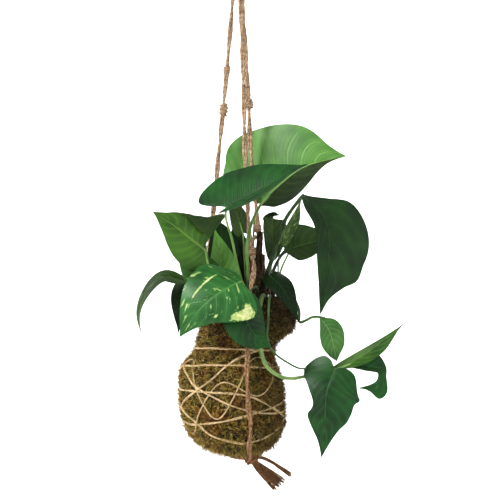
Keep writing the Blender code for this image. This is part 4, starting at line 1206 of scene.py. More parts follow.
# The leaves, from the crown outwards.
LEAVES = (
    # Its right half hangs down with its upper face to the viewer; that face takes the dark olive underside
    # finish as painted shade.
    Leaf(node="leaf_crown_large", tone=Tone.LIGHT, thick=4.0, turned=(False, True),
         rib=((25, 14, 134), (45, 9, 154), (72, 4, 173), (114, 0, 184)),
         up=((-.45, -.75, .5), (-.1, -.85, .5)),
         left=((-.03, 3), (-.10, 24), (-.15, 48), (-.02, 65), (.22, 75), (.5, 64), (.74, 43), (.88, 17),
               (.96, 5), (1, .5)),
         right=((-.02, 2), (.02, 8), (.08, 18), (.25, 30), (.45, 32), (.62, 25), (.74, 15), (.84, 6),
                (.93, 2), (1, .5)), fold=(20, -80), curl=(-10, -15), wave=1.0,
         stalk=((14, -8, 34), (12, -16, 48), (11, -23, 66), (10, -27, 90), (15, -21, 113), (21, -6, 126),
                (25, 14, 134))),
    Leaf(node="leaf_crown_front", tone=Tone.DARK, thick=3.2,
         rib=((-11, -64, 128), (13, -62, 138), (44, -58, 157), (72, -52, 173)),
         up=((-.3, -.6, .75), (-.3, -.5, .8)),
         left=((-.03, 3), (-.20, 12), (-.24, 20), (-.15, 31), (.06, 40), (.3, 42), (.55, 34), (.8, 15),
               (.93, 4), (1, .5)), right=22, fold=(25, 34), curl=(-16, -25), wave=1.0, lobe=(.1, .1),
         full=(1, .9),
         stalk=((12, -14, 33), (8, -20, 43), (1, -29, 66), (-5, -43, 95), (-11, -58, 116),
                (-11, -64, 128))),
    Leaf(node="leaf_left_folded", tone=Tone.MID, thick=4.0,
         rib=((-33, -34, 85), (-47, -40, 95), (-65, -46, 110), (-86, -50, 124)),
         up=((-.1, -.8, .5), (-.1, -.9, .4)),
         left=((-.02, 2), (-.12, 12), (-.10, 20), (.1, 27), (.35, 27), (.6, 20), (.8, 10), (.93, 3),
               (1, .5)),
         right=((0, 2), (.06, 9), (.08, 18), (.03, 30), (-.03, 40), (-.03, 49), (.10, 68), (.24, 60),
                (.38, 47), (.5, 35), (.62, 24), (.8, 10), (1, .5)), fold=(0, 3), curl=(-10, 172),
         wave=1.0, hinge=(0, .66), taper=(0, 1), crease=(1, .06),
         stalk=((5, -16, 31), (-4, -24, 39), (-18, -32, 51), (-29, -36, 68), (-33, -34, 85))),
    Leaf(node="leaf_left_narrow", tone=Tone.FRESH, thick=2.4,
         rib=((-13, -14, 43), (-16, -10, 73), (-24, -6, 108)), up=((-.2, -1, .1), (-.2, -1, .2)),
         left=15, right=17, fold=(30, 10), curl=(0, 0), lobe=(.05, .05),
         stalk=((5, -4, 34), (-3, -7, 38), (-13, -14, 43))),
    Leaf(node="leaf_front_cream", tone=Tone.CREAM, thick=3.4,
         rib=((4, -56, 53), (-11, -68, 46), (-35, -74, 28), (-58, -66, -3)),
         up=((0, -.6, .8), (-.1, -.9, .35)),
         left=((0, 2), (0, 9), (.01, 19), (.05, 30), (.14, 38), (.28, 41), (.44, 37), (.61, 28),
               (.78, 15), (.88, 7), (.95, 3), (1, .5)),
         right=((-.02, 2), (-.06, 8), (-.05, 17), (.02, 27), (.16, 36), (.4, 39), (.62, 32), (.8, 18),
                (.92, 7), (1, .5)), fold=(-16, 10), curl=(-16, -12), wave=1.0,
         stalk=((12, -20, 31), (10, -34, 41), (6, -48, 51), (4, -56, 53))),
    Leaf(node="leaf_left_curled", tone=Tone.OLIVE, stem_finish=DARK_STALK,
         rib=((-58, -24, 54), (-77, -28, 57), (-93, -32, 42), (-102, -30, 20), (-99, -22, -7)),
         up=((-.1, -.65, .75), (-.6, -.65, .3), (-.9, -.4, -.1)), left=9, right=9, fold=(10, 10),
         curl=(0, -20), wave=.6, lobe=(.05, .05),
         stalk=((-1, -1, 31), (-8, -4, 38), (-20, -9, 42), (-39, -16, 42), (-52, -21, 47),
                (-58, -24, 54))),
    Leaf(node="leaf_left_low", tone=Tone.DEEP,
         rib=((-50, -6, 50), (-59, -8, 33), (-62, -6, -2)), up=((-.1, -.9, .5), (-.2, -1, .1)), left=16,
         right=13, curl=(0, 0), lobe=(.1, .1),
         stalk=((1, 6, 31), (-8, 5, 39), (-24, 0, 45), (-38, -4, 50), (-50, -6, 50))),
    Leaf(node="leaf_left_streaked", tone=Tone.STREAKED,
         rib=((-26, -26, 46), (-43, -22, 68), (-65, -20, 95)), up=((-.1, -.9, .4), (-.1, -1, .2)),
         left=20, right=20, fold=(5, 5), wave=1.0, lobe=(.12, .12),
         stalk=((0, -9, 31), (-8, -17, 37), (-17, -22, 41), (-26, -26, 46))),
    Leaf(node="leaf_front_low", tone=Tone.DARK, stem_finish=DARK_STALK,
         rib=((6, -62, 34), (11, -66, 12), (21, -68, -4), (35, -68, -14)),
         up=((.1, -.8, .6), (.1, -.9, .3)), left=19, right=24, wave=.8, lobe=(.1, .1),
         stalk=((20, -21, 31), (21, -32, 42), (20, -45, 47), (14, -58, 44), (6, -62, 34))),
    Leaf(node="leaf_collar_right", tone=Tone.DEEP, stem_finish=DARK_STALK,
         rib=((34, -8, 59), (49, -20, 43), (64, -25, 10)), up=((.3, -.8, .5), (.4, -.9, .1)), left=15,
         right=12, wave=.6, lobe=(.03, .03), stalk=((30, -7, 33), (30, -6, 48), (34, -8, 59))),
    Leaf(node="leaf_right_hanging", tone=Tone.DUSK, thick=5.4, stem_finish=DARK_STALK,
         rib=((69, 4, 143), (94, -4, 114), (95, -8, 72), (87, -4, 18)),
         up=((0, -.9, .3), (.1, -.95, .1)),
         left=((0, 1), (.1, 9), (.2, 20), (.28, 34), (.42, 42), (.55, 43), (.68, 38), (.77, 33),
               (.82, 20), (.9, 7), (1, .5)),
         right=((0, 1), (.05, 6), (.15, 11), (.3, 14), (.5, 14), (.7, 11), (.85, 6), (1, .5)),
         fold=(0, 10), wave=1.0,
         stalk=((25, 4, 35), (30, 3, 56), (38, 3, 80), (50, 4, 116), (69, 4, 143))),
    Leaf(node="leaf_back_arched", tone=Tone.OLIVE, stem_finish=DARK_STALK,
         rib=((36, 10, 72), (37, 12, 98), (37, 20, 118), (38, 34, 126)),
         up=((0, .95, .2), (0, .9, .4), (0, .2, .95)),
         left=((0, 1), (.05, 5), (.16, 10), (.32, 14), (.5, 15), (.66, 13), (.8, 9), (.92, 4), (1, .5)),
         right=((0, 1), (.05, 4), (.16, 7), (.32, 9), (.5, 10), (.66, 9), (.8, 7), (.92, 3), (1, .5)),
         fold=(5, 5), wave=0, stalk=((30, 12, 32), (34, 10, 52), (36, 10, 72))),
    Leaf(node="leaf_back_narrow", tone=Tone.ASH, thick=2.2, stem_finish=DARK_STALK,
         rib=((46, -4, 92), (58, -4, 115), (67, -6, 139)), up=((-.6, -.8, .2), (-.6, -.8, .2)), left=5,
         right=10, curl=(0, 0), lobe=(.05, .05),
         stalk=((42, 3, 30), (43, 3, 50), (43, 1, 72), (46, -4, 92))),
    Leaf(node="leaf_right_side", tone=Tone.OLIVE, thick=4.6, turned=(False, True),
         stem_finish=DARK_STALK,
         rib=((49, 18, 83), (68, 22, 90), (107, 24, 100)), up=((0, -.9, .5), (0, -.9, .5)),
         left=((0, 1), (.06, 4), (.2, 10), (.3, 19), (.45, 27), (.62, 25), (.82, 12), (1, .5)),
         right=((0, 1), (.1, 4), (.2, 10), (.35, 15), (.6, 15), (.8, 8), (1, .5)), fold=(0, -10),
         curl=(-10, -40), stalk=((38, 9, 32), (37, 14, 46), (37, 20, 59), (42, 20, 72), (49, 18, 83))),
    Leaf(node="leaf_vine_long", tone=Tone.DARK, thick=2.8, stem_finish=VINE_DARK,
         rib=((101, -28, -39), (92, -36, -61), (90, -38, -92), (87, -34, -129)),
         up=((0, -.8, .6), (0, -1, .2)),
         left=((-.02, 1), (-.05, 7), (-.05, 15), (0, 23), (.14, 30), (.3, 35), (.42, 36), (.48, 31),
               (.58, 28), (.67, 23), (.74, 16), (.84, 9), (.93, 4), (1, .5)),
         right=((-.02, 1), (-.1, 8), (-.12, 17), (-.03, 27), (.09, 31), (.2, 29), (.3, 21), (.42, 14),
                (.51, 13), (.6, 18), (.71, 14), (.84, 6), (.94, 2), (1, .5)), wave=.6,
         stalk=((34, -17, 31), (34, -30, 38), (33, -43, 33), (32, -52, 16), (31, -57, -6),
                (38, -52, -20), (52, -38, -31), (66, -24, -38), (80, -14, -37), (94, -14, -34),
                (101, -28, -39))),
    Leaf(node="leaf_inner_young", tone=Tone.MID, thick=2.2,
         rib=((6, 6, 103), (0, 4, 123), (-12, 0, 146)), up=((0, .9, .3), (0, .9, .3)), left=10, right=10,
         curl=(0, 0), lobe=(.05, .05), stalk=((9, 3, 34), (8, 5, 66), (6, 6, 103))),
    Leaf(node="leaf_inner_left", tone=Tone.DEEP, thick=2.8,
         rib=((-1, 8, 38), (-12, 12, 72), (-19, 14, 115)), up=((-.1, -1, .1), (-.1, -1, .1)),
         left=((0, 1), (.04, 8), (.14, 14), (.35, 18), (.58, 18), (.78, 14), (.91, 8), (1, .5)),
         right=((0, 1), (.04, 8), (.14, 14), (.35, 17), (.58, 17), (.78, 14), (.91, 8), (1, .5)),
         curl=(0, 0), stalk=((6, 9, 32), (2, 9, 34), (-1, 8, 38))),
    Leaf(node="leaf_inner_middle", tone=Tone.DEEP,
         rib=((9, 14, 50), (2, 18, 80), (-2, 22, 123)), up=((-.1, -1, .1), (-.1, -1, .1)), left=17,
         right=16, curl=(0, 0), lobe=(.02, .02), stalk=((13, 9, 34), (12, 11, 42), (9, 14, 50))),
    Leaf(node="leaf_rear_high", tone=Tone.MID, thick=3.0,
         rib=((20, 46, 140), (26, 60, 160), (34, 80, 172), (40, 104, 168)),
         up=((.2, .5, .8), (.1, .3, .95)), left=26, right=26, fold=(14, 14), wave=1.0,
         stalk=((20, 13, 34), (18, 26, 62), (17, 37, 100), (20, 46, 140))),
    Leaf(node="leaf_rear_left", tone=Tone.DARK, thick=3.0,
         rib=((-30, 52, 82), (-42, 66, 92), (-56, 84, 90), (-66, 98, 78)),
         up=((-.2, .6, .8), (-.4, .8, .5)), left=28, right=28, fold=(12, 12), wave=1.0,
         stalk=((6, 16, 31), (-4, 28, 50), (-18, 42, 70), (-30, 52, 82))),
    Leaf(node="leaf_rear_right", tone=Tone.MID, thick=3.0,
         rib=((56, 52, 84), (68, 64, 90), (82, 78, 90), (96, 92, 82)), up=((.2, .5, .85), (.3, .6, .7)),
         left=18, right=18, fold=(12, 12), curl=(-25, -25), wave=1.0,
         stalk=((36, 16, 30), (41, 33, 45), (47, 45.5, 65), (56, 52, 84))),
    Leaf(node="leaf_rear_low", tone=Tone.DARK, thick=2.8,
         rib=((10, 50, 50), (8, 64, 46), (4, 76, 26), (0, 80, -4)), up=((0, .7, .7), (0, 1, .1)),
         left=25, right=25, fold=(8, 8), curl=(-25, -25), wave=1.0,
         stalk=((14, 20, 31), (12, 36, 44), (10, 50, 50))),
    Leaf(node="leaf_rear_side", tone=Tone.STREAKED,
         rib=((-34, 52, 50), (-43, 62, 44), (-49, 67, 27), (-52, 69, 2)),
         up=((-.3, .6, .75), (-.4, .9, .2)), left=14, right=12, fold=(8, 8), curl=(-25, -25), wave=.8,
         stalk=((1, 13, 31), (-6, 20, 40), (-16, 35, 48), (-26, 46, 52), (-34, 52, 50))),
)

# Two vines, each with its own leaves.
VINES = (
    Vine(node="vine_right", thick=4.6,
         route=((27, -20, 31), (27, -31, 38), (25, -43, 34), (22, -50, 16), (23, -52, -10),
                (29, -51, -32), (42, -42, -44), (56, -30, -48), (68, -19, -47), (82, -12, -46),
                (98, -10, -42), (120, -12, -34)),
         leaves=(
             Leaf(node="vine_right", tone=Tone.MID,
                  rib=((103, -10, -41), (136, -13, -22), (173, -14, 8)),
                  up=((-.2, -.3, .9), (-.2, -.3, .9)), left=8,
                  right=((0, 1), (.1, 3), (.25, 9), (.45, 14), (.65, 13), (.8, 8), (.92, 3), (1, .5)),
                  fold=(30, -20), curl=(0, 0)),
             Leaf(node="vine_right", tone=Tone.DARK,
                  rib=((118, -13, -34), (134, -13, -37), (149, -13, -41), (146, -14, -53),
                       (127, -16, -59)), up=((0, -1, .1), (0, -1, .1)),
                  left=((0, 1), (.1, 3), (.22, 5), (.34, 12), (.40, 15), (.5, 8), (.6, 6), (.68, 9),
                        (.76, 16), (.82, 16), (.87, 8), (.93, 3), (1, .5)), right=4, curl=(0, 0),
                  lobe=(0, 0)),
         )),
    Vine(node="vine_side", finish=VINE_DARK, thick=3.8,
         route=((41, -4, 30), (49, -5, 38), (58, -8, 36), (64.5, -10, 22), (65, -10, 10), (71, -8, 11),
                (80, -6, 15), (92, -7, 14)),
         leaves=(
             Leaf(node="vine_side", tone=Tone.LEAFY,
                  rib=((87, -6, 14), (97, -10, -2), (104, -8, -31)), up=((0, -.9, .3), (0, -.9, .3)),
                  left=((0, 1), (.08, 5), (.25, 12), (.5, 15), (.75, 12), (.9, 5), (1, .5)),
                  right=((0, 1), (.2, 6), (.45, 11), (.7, 12), (.88, 7), (1, .5)), curl=(-20, 0),
                  lobe=(0, 0)),
         )),
)


def lump(angle: np.ndarray, height: np.ndarray) -> np.ndarray:
    """How far the ball stands out from its turned form at an angle and a height, in millimetres."""
    low = 1.1 * np.sin(3 * angle + 0.06 * height + 1.0) + 0.8 * np.sin(5 * angle - 0.09 * height + 2.0)
    return low + 0.3 * np.sin(8 * angle + 0.13 * height)


def moss_point(angle: float, height: float) -> np.ndarray:
    """A point of the moss's outside at an angle in radians and a height."""
    heights = [row[0] for row in reversed(MOSS)]
    centre = np.interp(height, heights, [row[1] for row in reversed(MOSS)])
    radius = np.interp(height, heights, [row[2] for row in reversed(MOSS)]) + lump(angle, height)
    return np.array([centre + radius * math.cos(angle), radius * math.sin(angle), height])


def moss_lifted(degrees: float, height: float, lift: float) -> np.ndarray:
    """A point held off the moss's outside, square to it.

    Args:
        degrees: the angle round the ball.
        height: the height from the crown.
        lift: how far off the moss it is.

    Returns:
        The point.
    """
    angle = math.radians(degrees)
    round_it = moss_point(angle + 0.02, height) - moss_point(angle - 0.02, height)
    down_it = moss_point(angle, height - 3) - moss_point(angle, height + 3)
    normal = unit(np.cross(down_it, round_it))
    if normal[0] * math.cos(angle) + normal[1] * math.sin(angle) < 0:
        normal = -normal
    return moss_point(angle, height) + normal * lift


@dataclass
class MossBall:
    """The moss: a matted ground, strands tangled over it, short bristles and a few long loose threads."""

    node: str = "moss_shell"
    seed: int = 11
    lying: int = 16000
    bristling: int = 17000
    bearding: int = 1500
    loose: int = 260
    rows: int = 150
    columns: int = 200
    roughness_mm: float = 0.55

    def surface(self, angle: np.ndarray, t: np.ndarray) -> np.ndarray:
        """Points of the outside at angles round it and places t from its top (0) to its foot (1)."""
        rows = spline(np.array(MOSS, float), t)
        height, centre, radius = rows[..., 0], rows[..., 1], rows[..., 2]
        radius = radius + lump(angle, height) * np.clip(radius / 15, 0, 1)
        return np.stack([centre + radius * np.cos(angle), radius * np.sin(angle), height], axis=-1)

    def normal(self, angle: np.ndarray, t: np.ndarray) -> np.ndarray:
        """Directions square to the outside, pointing out."""
        step = 0.01
        round_it = self.surface(angle + step, t) - self.surface(angle - step, t)
        higher, lower = np.clip(t - step, 0, 1), np.clip(t + step, 0, 1)
        down_it = self.surface(angle, lower) - self.surface(angle, higher)
        return unit(np.cross(down_it, round_it))

    def roughened(self, points: np.ndarray, normal: np.ndarray) -> np.ndarray:
        """Points pushed in and out by small tufts."""
        x, y, z = points[..., 0], points[..., 1], points[..., 2]
        tufts = np.sin(0.9 * x + 1.7 * np.sin(0.5 * z)) * np.sin(0.8 * z + 1.3 * np.sin(0.6 * y))
        tufts = tufts + 0.6 * np.sin(1.9 * y + 0.7 * x) * np.sin(1.7 * z - 0.9 * x)
        return points + normal * (self.roughness_mm * tufts)[..., None]

    def ground(self, sketch: Sketch) -> None:
        """Adds the matted ground."""
        angle, t = np.meshgrid(np.linspace(0, 2 * math.pi, self.columns, endpoint=False),
                               np.linspace(0, 1, self.rows))
        points = self.roughened(self.surface(angle, t), self.normal(angle, t))
        marks = np.zeros((self.rows, self.columns + 1, 2))
        sketch.grid(points, marks, 0, around=True, flip=True)
        for row, beyond in ((0, 1.0), (-1, -1.0)):
            height, centre, _ = MOSS[row]
            sketch.fan((centre, 0, height + beyond), points[row], np.zeros(2), flip=row < 0)

    def scatter(self, rng: np.random.Generator, count: int) -> tuple[np.ndarray, np.ndarray, np.ndarray]:
        """Picks places spread evenly over the outside.

        Args:
            rng: the source of random numbers.
            count: how many places.

        Returns:
            The points, the directions out of the moss there, and the directions round it.
        """
        t = np.linspace(0, 1, 400)
        rows = spline(np.array(MOSS, float), t)
        steps = np.hypot(np.gradient(rows[:, 0]), np.gradient(rows[:, 2]))
        weight = np.cumsum(steps * np.maximum(rows[:, 2], 3))
        picked = np.interp(rng.random(count) * weight[-1], weight, t)
        angle = rng.random(count) * 2 * math.pi
        points = self.surface(angle, picked)
        normal = self.normal(angle, picked)
        round_it = unit(np.stack([-np.sin(angle), np.cos(angle), np.zeros(count)], axis=-1))
        return points, normal, round_it

    def leaning(self, rng: np.random.Generator, normal: np.ndarray, round_it: np.ndarray, low: float,
                high: float) -> np.ndarray:
        """Directions turned at random round the normal.

        Args:
            rng: the source of random numbers.
            normal: the directions out of the moss.
            round_it: the directions round it.
            low: the least angle at which they rise off it, in degrees.
            high: the greatest.

        Returns:
            The directions.
        """
        count = len(normal)
        turn = rng.random(count) * 2 * math.pi
        other = np.cross(normal, round_it)
        flat = unit(round_it * np.cos(turn)[:, None] + other * np.sin(turn)[:, None])
        rise = np.radians(rng.uniform(low, high, count))[:, None]
        return flat * np.cos(rise) + normal * np.sin(rise)

    def plant(self, sketch: Sketch, rng: np.random.Generator, points: np.ndarray, way: np.ndarray,
              size: np.ndarray, bent: float, widths: tuple[float, float],
              sag: Union[float, np.ndarray] = 0.0) -> None:
        """Adds strands, each bent its own way.

        Args:
            sketch: what they are added to.
            rng: the source of random numbers.
            points: where they start.
            way: the ways that they go.
            size: their lengths.
            bent: how far their tips are bent, as a share of their lengths.
            widths: the least and the greatest radius at their roots.
            sag: how far their tips are drawn back to the moss.
        """
        bend = unit(rng.normal(size=way.shape)) * (size * bent)[:, None] - sag
        width = rng.uniform(*widths, len(size))
        sketch.strands(points, way * size[:, None], bend, width, rng.random(len(size)))

    def tangle(self, sketch: Sketch, rng: np.random.Generator) -> None:
        """Adds the strands that lie tangled over the ground."""
        points, normal, round_it = self.scatter(rng, self.lying)
        way = self.leaning(rng, normal, round_it, 6, 30)
        size = rng.uniform(4.5, 11.5, self.lying)
        sag = normal * (size * 0.22)[:, None]
        self.plant(sketch, rng, points - normal * 0.4, way, size, 0.32, (0.22, 0.50), sag)

    def bristles(self, sketch: Sketch, rng: np.random.Generator) -> None:
        """Adds the bristles that stand out of the tangle."""
        points, normal, round_it = self.scatter(rng, self.bristling)
        way = self.leaning(rng, normal, round_it, 30, 85)
        size = rng.uniform(2.4, 5.8, self.bristling) + 6.0 * rng.random(self.bristling) ** 5
        self.plant(sketch, rng, points - normal * 0.5, way, size, 0.38, (0.20, 0.42))

    def beard(self, sketch: Sketch, rng: np.random.Generator) -> None:
        """Adds the longer strands that hang round the gather, under the ball."""
        angle = rng.random(self.bearding) * 2 * math.pi
        points = self.surface(angle, rng.uniform(0.90, 1.0, self.bearding))
        out = np.stack([np.cos(angle), np.sin(angle), np.full(self.bearding, -1.9)], axis=-1)
        way = unit(out + rng.normal(size=out.shape) * 0.5)
        size = rng.uniform(4.5, 9.0, self.bearding)
        self.plant(sketch, rng, points, way, size, 0.4, (0.22, 0.42))

    def threads(self, sketch: Sketch, rng: np.random.Generator) -> None:
        """Adds the loose threads, which curl away from the moss."""
        points, normal, round_it = self.scatter(rng, self.loose)
        way = self.leaning(rng, normal, round_it, 15, 70)
        for point, start, out in zip(points, way, normal):
            size = rng.uniform(4, 11.5)
            turn = unit(rng.normal(size=3)) * size * 0.5
            knots = [point - out * 0.5, point + start * size * 0.5,
                     point + start * size * 0.9 + turn * 0.6]
            line = even_line(knots, 1.2)
            sketch.tube(line, np.linspace(0.28, 0.14, len(line)), 4, 0)

    def build(self, wardrobe: Wardrobe) -> list[bpy.types.Object]:
        """Makes the moss, dressed.

        Args:
            wardrobe: the materials.

        Returns:
            The ground, which stands for the node, the tangle, the bristles and the threads.
        """
        rng = np.random.default_rng(self.seed)
        ground_skin, strand_skin = wardrobe.moss()
        ground, tangle, bristles, threads = Sketch(), Sketch(), Sketch(), Sketch()
        self.ground(ground)
        self.tangle(tangle, rng)
        self.bristles(bristles, rng)
        self.beard(bristles, rng)
        self.threads(threads, rng)
        pieces = [ground.build("moss_ground", [ground_skin]), tangle.build("moss_tangle", [strand_skin]),
                  bristles.build("moss_bristles", [strand_skin]),
                  threads.build("moss_loose_threads", [wardrobe.get(ROOT_FINISH)])]
        dress(pieces[0], "moss", self.node)
        for piece in pieces[1:]:
            dress(piece, "moss")
        return pieces


@dataclass
class TwineWrap:
    """Straw twine wound round the ball in crossing loops, each a twisted pair of flat straws."""

    node: str = "twine_wrap"
    steps: int = 250
    highest: float = 2.3
    deepest: float = 0.2

    def lift(self, turn: float, index: int) -> float:
        """How high a loop lies over the moss: it dips into it in places, and most of all on the right."""
        angle = 2 * math.pi * turn
        ripple = 0.5 + 0.28 * math.sin(4 * angle + 2.1 * index) + 0.22 * math.sin(9 * angle + 1.3 * index)
        right = max(0.0, math.cos(angle + 0.25)) ** 1.5
        return self.deepest + (self.highest - self.deepest) * min(1, max(0, 0.35 + ripple - 0.95 * right))

    def loop(self, heights: Sequence[float], index: int) -> np.ndarray:
        """The centreline of one loop, from its heights at eight angles."""
        closed = np.concatenate([np.array(heights[-2:], float), np.array(heights, float), heights[:3]])
        points = []
        for step in range(self.steps):
            turn = step / self.steps
            height = float(spline(closed, np.array((2 + turn * 8) / (len(closed) - 1))))
            points.append(moss_lifted(360 * turn + 4 * index, height, self.lift(turn + index / 90, index)))
        return np.array(points)

    def build(self, wardrobe: Wardrobe) -> bpy.types.Object:
        """Makes the winding, dressed.

        Args:
            wardrobe: the materials.

        Returns:
            The piece that stands for the winding's node.
        """
        sketch = Sketch()
        for index, heights in enumerate(TWINE_LOOPS):
            line = self.loop(heights, index)
            share = np.linspace(0, 2 * math.pi, len(line), endpoint=False)
            radius = TWINE / 2 * (0.78 + 0.10 * np.sin(5 * share + index) + 0.08 * np.sin(13 * share))
            sketch.tube(line, radius, 12, 0, ridges=2, depth=0.22, turn=0.03, closed=True)
        for index, heights in enumerate(THIN_STRAWS):
            line = self.loop(heights, len(TWINE_LOOPS) + index)
            sketch.tube(line, THIN_STRAW / 2, 8, 0, ridges=2, depth=0.2, turn=0.05, closed=True)
        return dress(sketch.build("straw_winding", [wardrobe.get(TWINE_FINISH)]), "twine", self.node)


@dataclass
class OldStems:
    """The crown's old brown stems, with dry papery sheaths splitting off them and roots round their feet."""

    node: str = "old_stems"
    seed: int = 5
    sheaths: int = 18
    roots: int = 70
    rings: int = 6

    def sheath(self, sketch: Sketch, rng: np.random.Generator, foot: np.ndarray) -> None:
        """Adds one sheath: a pointed strip cupped round its stem."""
        size = rng.uniform(11, 24)
        lean = rng.uniform(0, 2 * math.pi)
        out = np.array([math.cos(lean), math.sin(lean), 0])
        top = foot + np.array([0, 0, size]) + out * rng.uniform(1.5, 5.5)
        line = even_line([foot, foot + (top - foot) * 0.5 + out * 0.4, top], size / 9)
        across = np.cross(out, [0, 0, 1.0])
        width = 2.1 * np.sin(np.linspace(0.5, math.pi, len(line))) + 0.15
        columns = np.linspace(-1, 1, 5)
        cup = (1 - columns ** 2)[None, :, None] * out * 0.9
        points = line[:, None] + across * (columns[None, :] * width[:, None])[..., None] + cup
        run = np.linspace(0, size * MARK_PER_MM, len(line))[:, None]
        marks = np.stack(np.broadcast_arrays(columns[None, :] * 0.5 + 0.5, run), axis=-1)
        sketch.grid(points, marks, 1)
        sketch.grid(points - out * 0.25, marks, 1, flip=True)

    def build(self, wardrobe: Wardrobe) -> bpy.types.Object:
        """Makes the stems, dressed.

        Args:
            wardrobe: the materials.

        Returns:
            The piece that stands for the stems' node.
        """
        rng = np.random.default_rng(self.seed)
        sketch = Sketch()
        for route, thick in OLD_STEMS:
            knots = [np.array(route[0]) - [0, 0, FOOT_DEPTH], *map(np.array, route)]
            line = even_line(knots, 1.5)
            share = np.linspace(0, 1, len(line))
            rings = 1 + 0.16 * np.exp(-(np.mod(share * self.rings, 1) - 0.5) ** 2 / 0.01)
            radius = thick / 2 * (1 - 0.25 * share) * rings
            sketch.tube(line, radius, 14, ridges=5, depth=0.07, turn=0.01)
        for k in range(self.sheaths):
            place = spline(OLD_STEMS[k % 2][0], np.array(rng.uniform(0.05, 0.75)))
            self.sheath(sketch, rng, place + rng.uniform(-1, 1, 3))
        for _ in range(self.roots):
            foot = np.array([20, 0, 32]) + rng.uniform(-1, 1, 3) * [13, 9, 2]
            size = rng.uniform(9, 30)
            side = unit(rng.normal(size=3)) * [1, 1, 0.3]
            knots = [foot, foot + [0, 0, size * 0.6] + side * 2, foot + [0, 0, size] + side * 6]
            line = even_line(knots, 2.0)
            sketch.tube(line, np.linspace(0.45, 0.15, len(line)), 5, 2)
        skins = [wardrobe.get(STEM_FINISH), wardrobe.get(SHEATH_FINISH), wardrobe.get(ROOT_FINISH)]
        return dress(sketch.build("old_crown_stems", skins), "stem", self.node)


@dataclass
class Jute:
    """Jute cord: two yarns laid side by side with a slow twist, ribbed by their fibres, and stray hairs."""

    thick: float = LEG
    lay_length: float = 95.0
    yarn_share: float = 0.265
    hair_reach: float = 1.5

    def yarns(self, sketch: Sketch, line: np.ndarray, start: float = 0.0) -> None:
        """Adds the two yarns.

        Args:
            sketch: what they are added to.
            line: the cord's centreline.
            start: the angle at which the first yarn starts.
        """
        side, up, _ = frames(line)
        run = run_along(line)
        angle = start + 2 * math.pi * run / self.lay_length
        out = side * np.cos(angle)[:, None] + up * np.sin(angle)[:, None]
        radius = self.thick * self.yarn_share
        swell = 1 + 0.06 * np.sin(run * 0.31) + 0.05 * np.sin(run * 0.83 + 1)
        for sign in (-1, 1):
            yarn = line + out * sign * (self.thick / 2 - radius)
            sketch.tube(yarn, radius * swell, 15, ridges=5, depth=0.14, turn=0.10 * sign)

    def hairs(self, sketch: Sketch, line: np.ndarray, rng: np.random.Generator, density: float) -> None:
        """Adds stray fibres that stand off the cord.

        Args:
            sketch: what they are added to.
            line: the cord's centreline.
            rng: the source of random numbers.
            density: how many there are in a millimetre.
        """
        count = max(3, round(length_of(line) * density))
        at = rng.random(count) * (len(line) - 1)
        i = np.minimum(at.astype(int), len(line) - 2)
        share = (at - i)[:, None]
        side, up, along = frames(line)
        angle = rng.random(count) * 2 * math.pi
        out = side[i] * np.cos(angle)[:, None] + up[i] * np.sin(angle)[:, None]
        roots = line[i] * (1 - share) + line[i + 1] * share + out * self.thick * 0.30
        size = rng.uniform(2.0, 5.0, count)[:, None]
        lean = along[i] * rng.choice([-1, 1], count)[:, None]
        reach = lean * size + out * rng.uniform(0.2, self.hair_reach, count)[:, None]
        sketch.strands(roots, reach, out * 0.3, rng.uniform(0.08, 0.15, count), rng.random(count))


@dataclass
class Knot:
    """A small knot: turns of yarn drawn tight round a cord.

    FORM lists how far along the axis the points of the form inside them are, as shares of its reach.
    """

    name: str
    centre: Point
    radii: Point
    axis: Point = (0, 0, 1)
    turns: int = 3
    yarn: float = 2.3

    FORM = np.linspace(-0.92, 0.92, 12)

    def coil(self, sketch: Sketch) -> None:
        """Adds the turns, wound on an egg-shaped form."""
        axis = unit(np.array(self.axis, float))
        first = unit(np.cross(axis, [0.3, 1.0, 0.2]))
        second = np.cross(axis, first)
        t = np.linspace(0, 1, 26 * self.turns)
        angle = 2 * math.pi * self.turns * t
        height = (t - 0.5) * 2 * (self.radii[2] - self.yarn / 2)
        wide = max(self.radii[0], self.radii[1]) - self.yarn / 2
        wide = wide * np.sqrt(np.clip(1 - 0.55 * (height / self.radii[2]) ** 2, 0, 1))
        line = np.array(self.centre) + first * (wide * np.cos(angle))[:, None]
        line = line + second * (wide * np.sin(angle))[:, None] + axis * height[:, None]
        tails = np.vstack([line[0] - first * wide[0] * 0.8, line, line[-1] - first * wide[-1] * 0.8])
        sketch.tube(tails, self.yarn / 2, 10, ridges=3, depth=0.1, turn=0.12)

    def core(self, sketch: Sketch) -> None:
        """Adds the form inside the turns."""
        axis = unit(np.array(self.axis, float))
        line = np.array(self.centre) + axis * self.FORM[:, None] * self.radii[2]
        radius = min(self.radii[0], self.radii[1]) * 0.80 * np.sqrt(1.02 - self.FORM ** 2)
        sketch.tube(line, radius, 14, ridges=4, depth=0.08, turn=0.06)

    def build(self, wardrobe: Wardrobe) -> bpy.types.Object:
        """Makes the knot, dressed, as a piece on its cord."""
        sketch = Sketch()
        self.core(sketch)
        self.coil(sketch)
        return dress(sketch.build(self.name, [wardrobe.get(JUTE_FINISH)]), "jute")


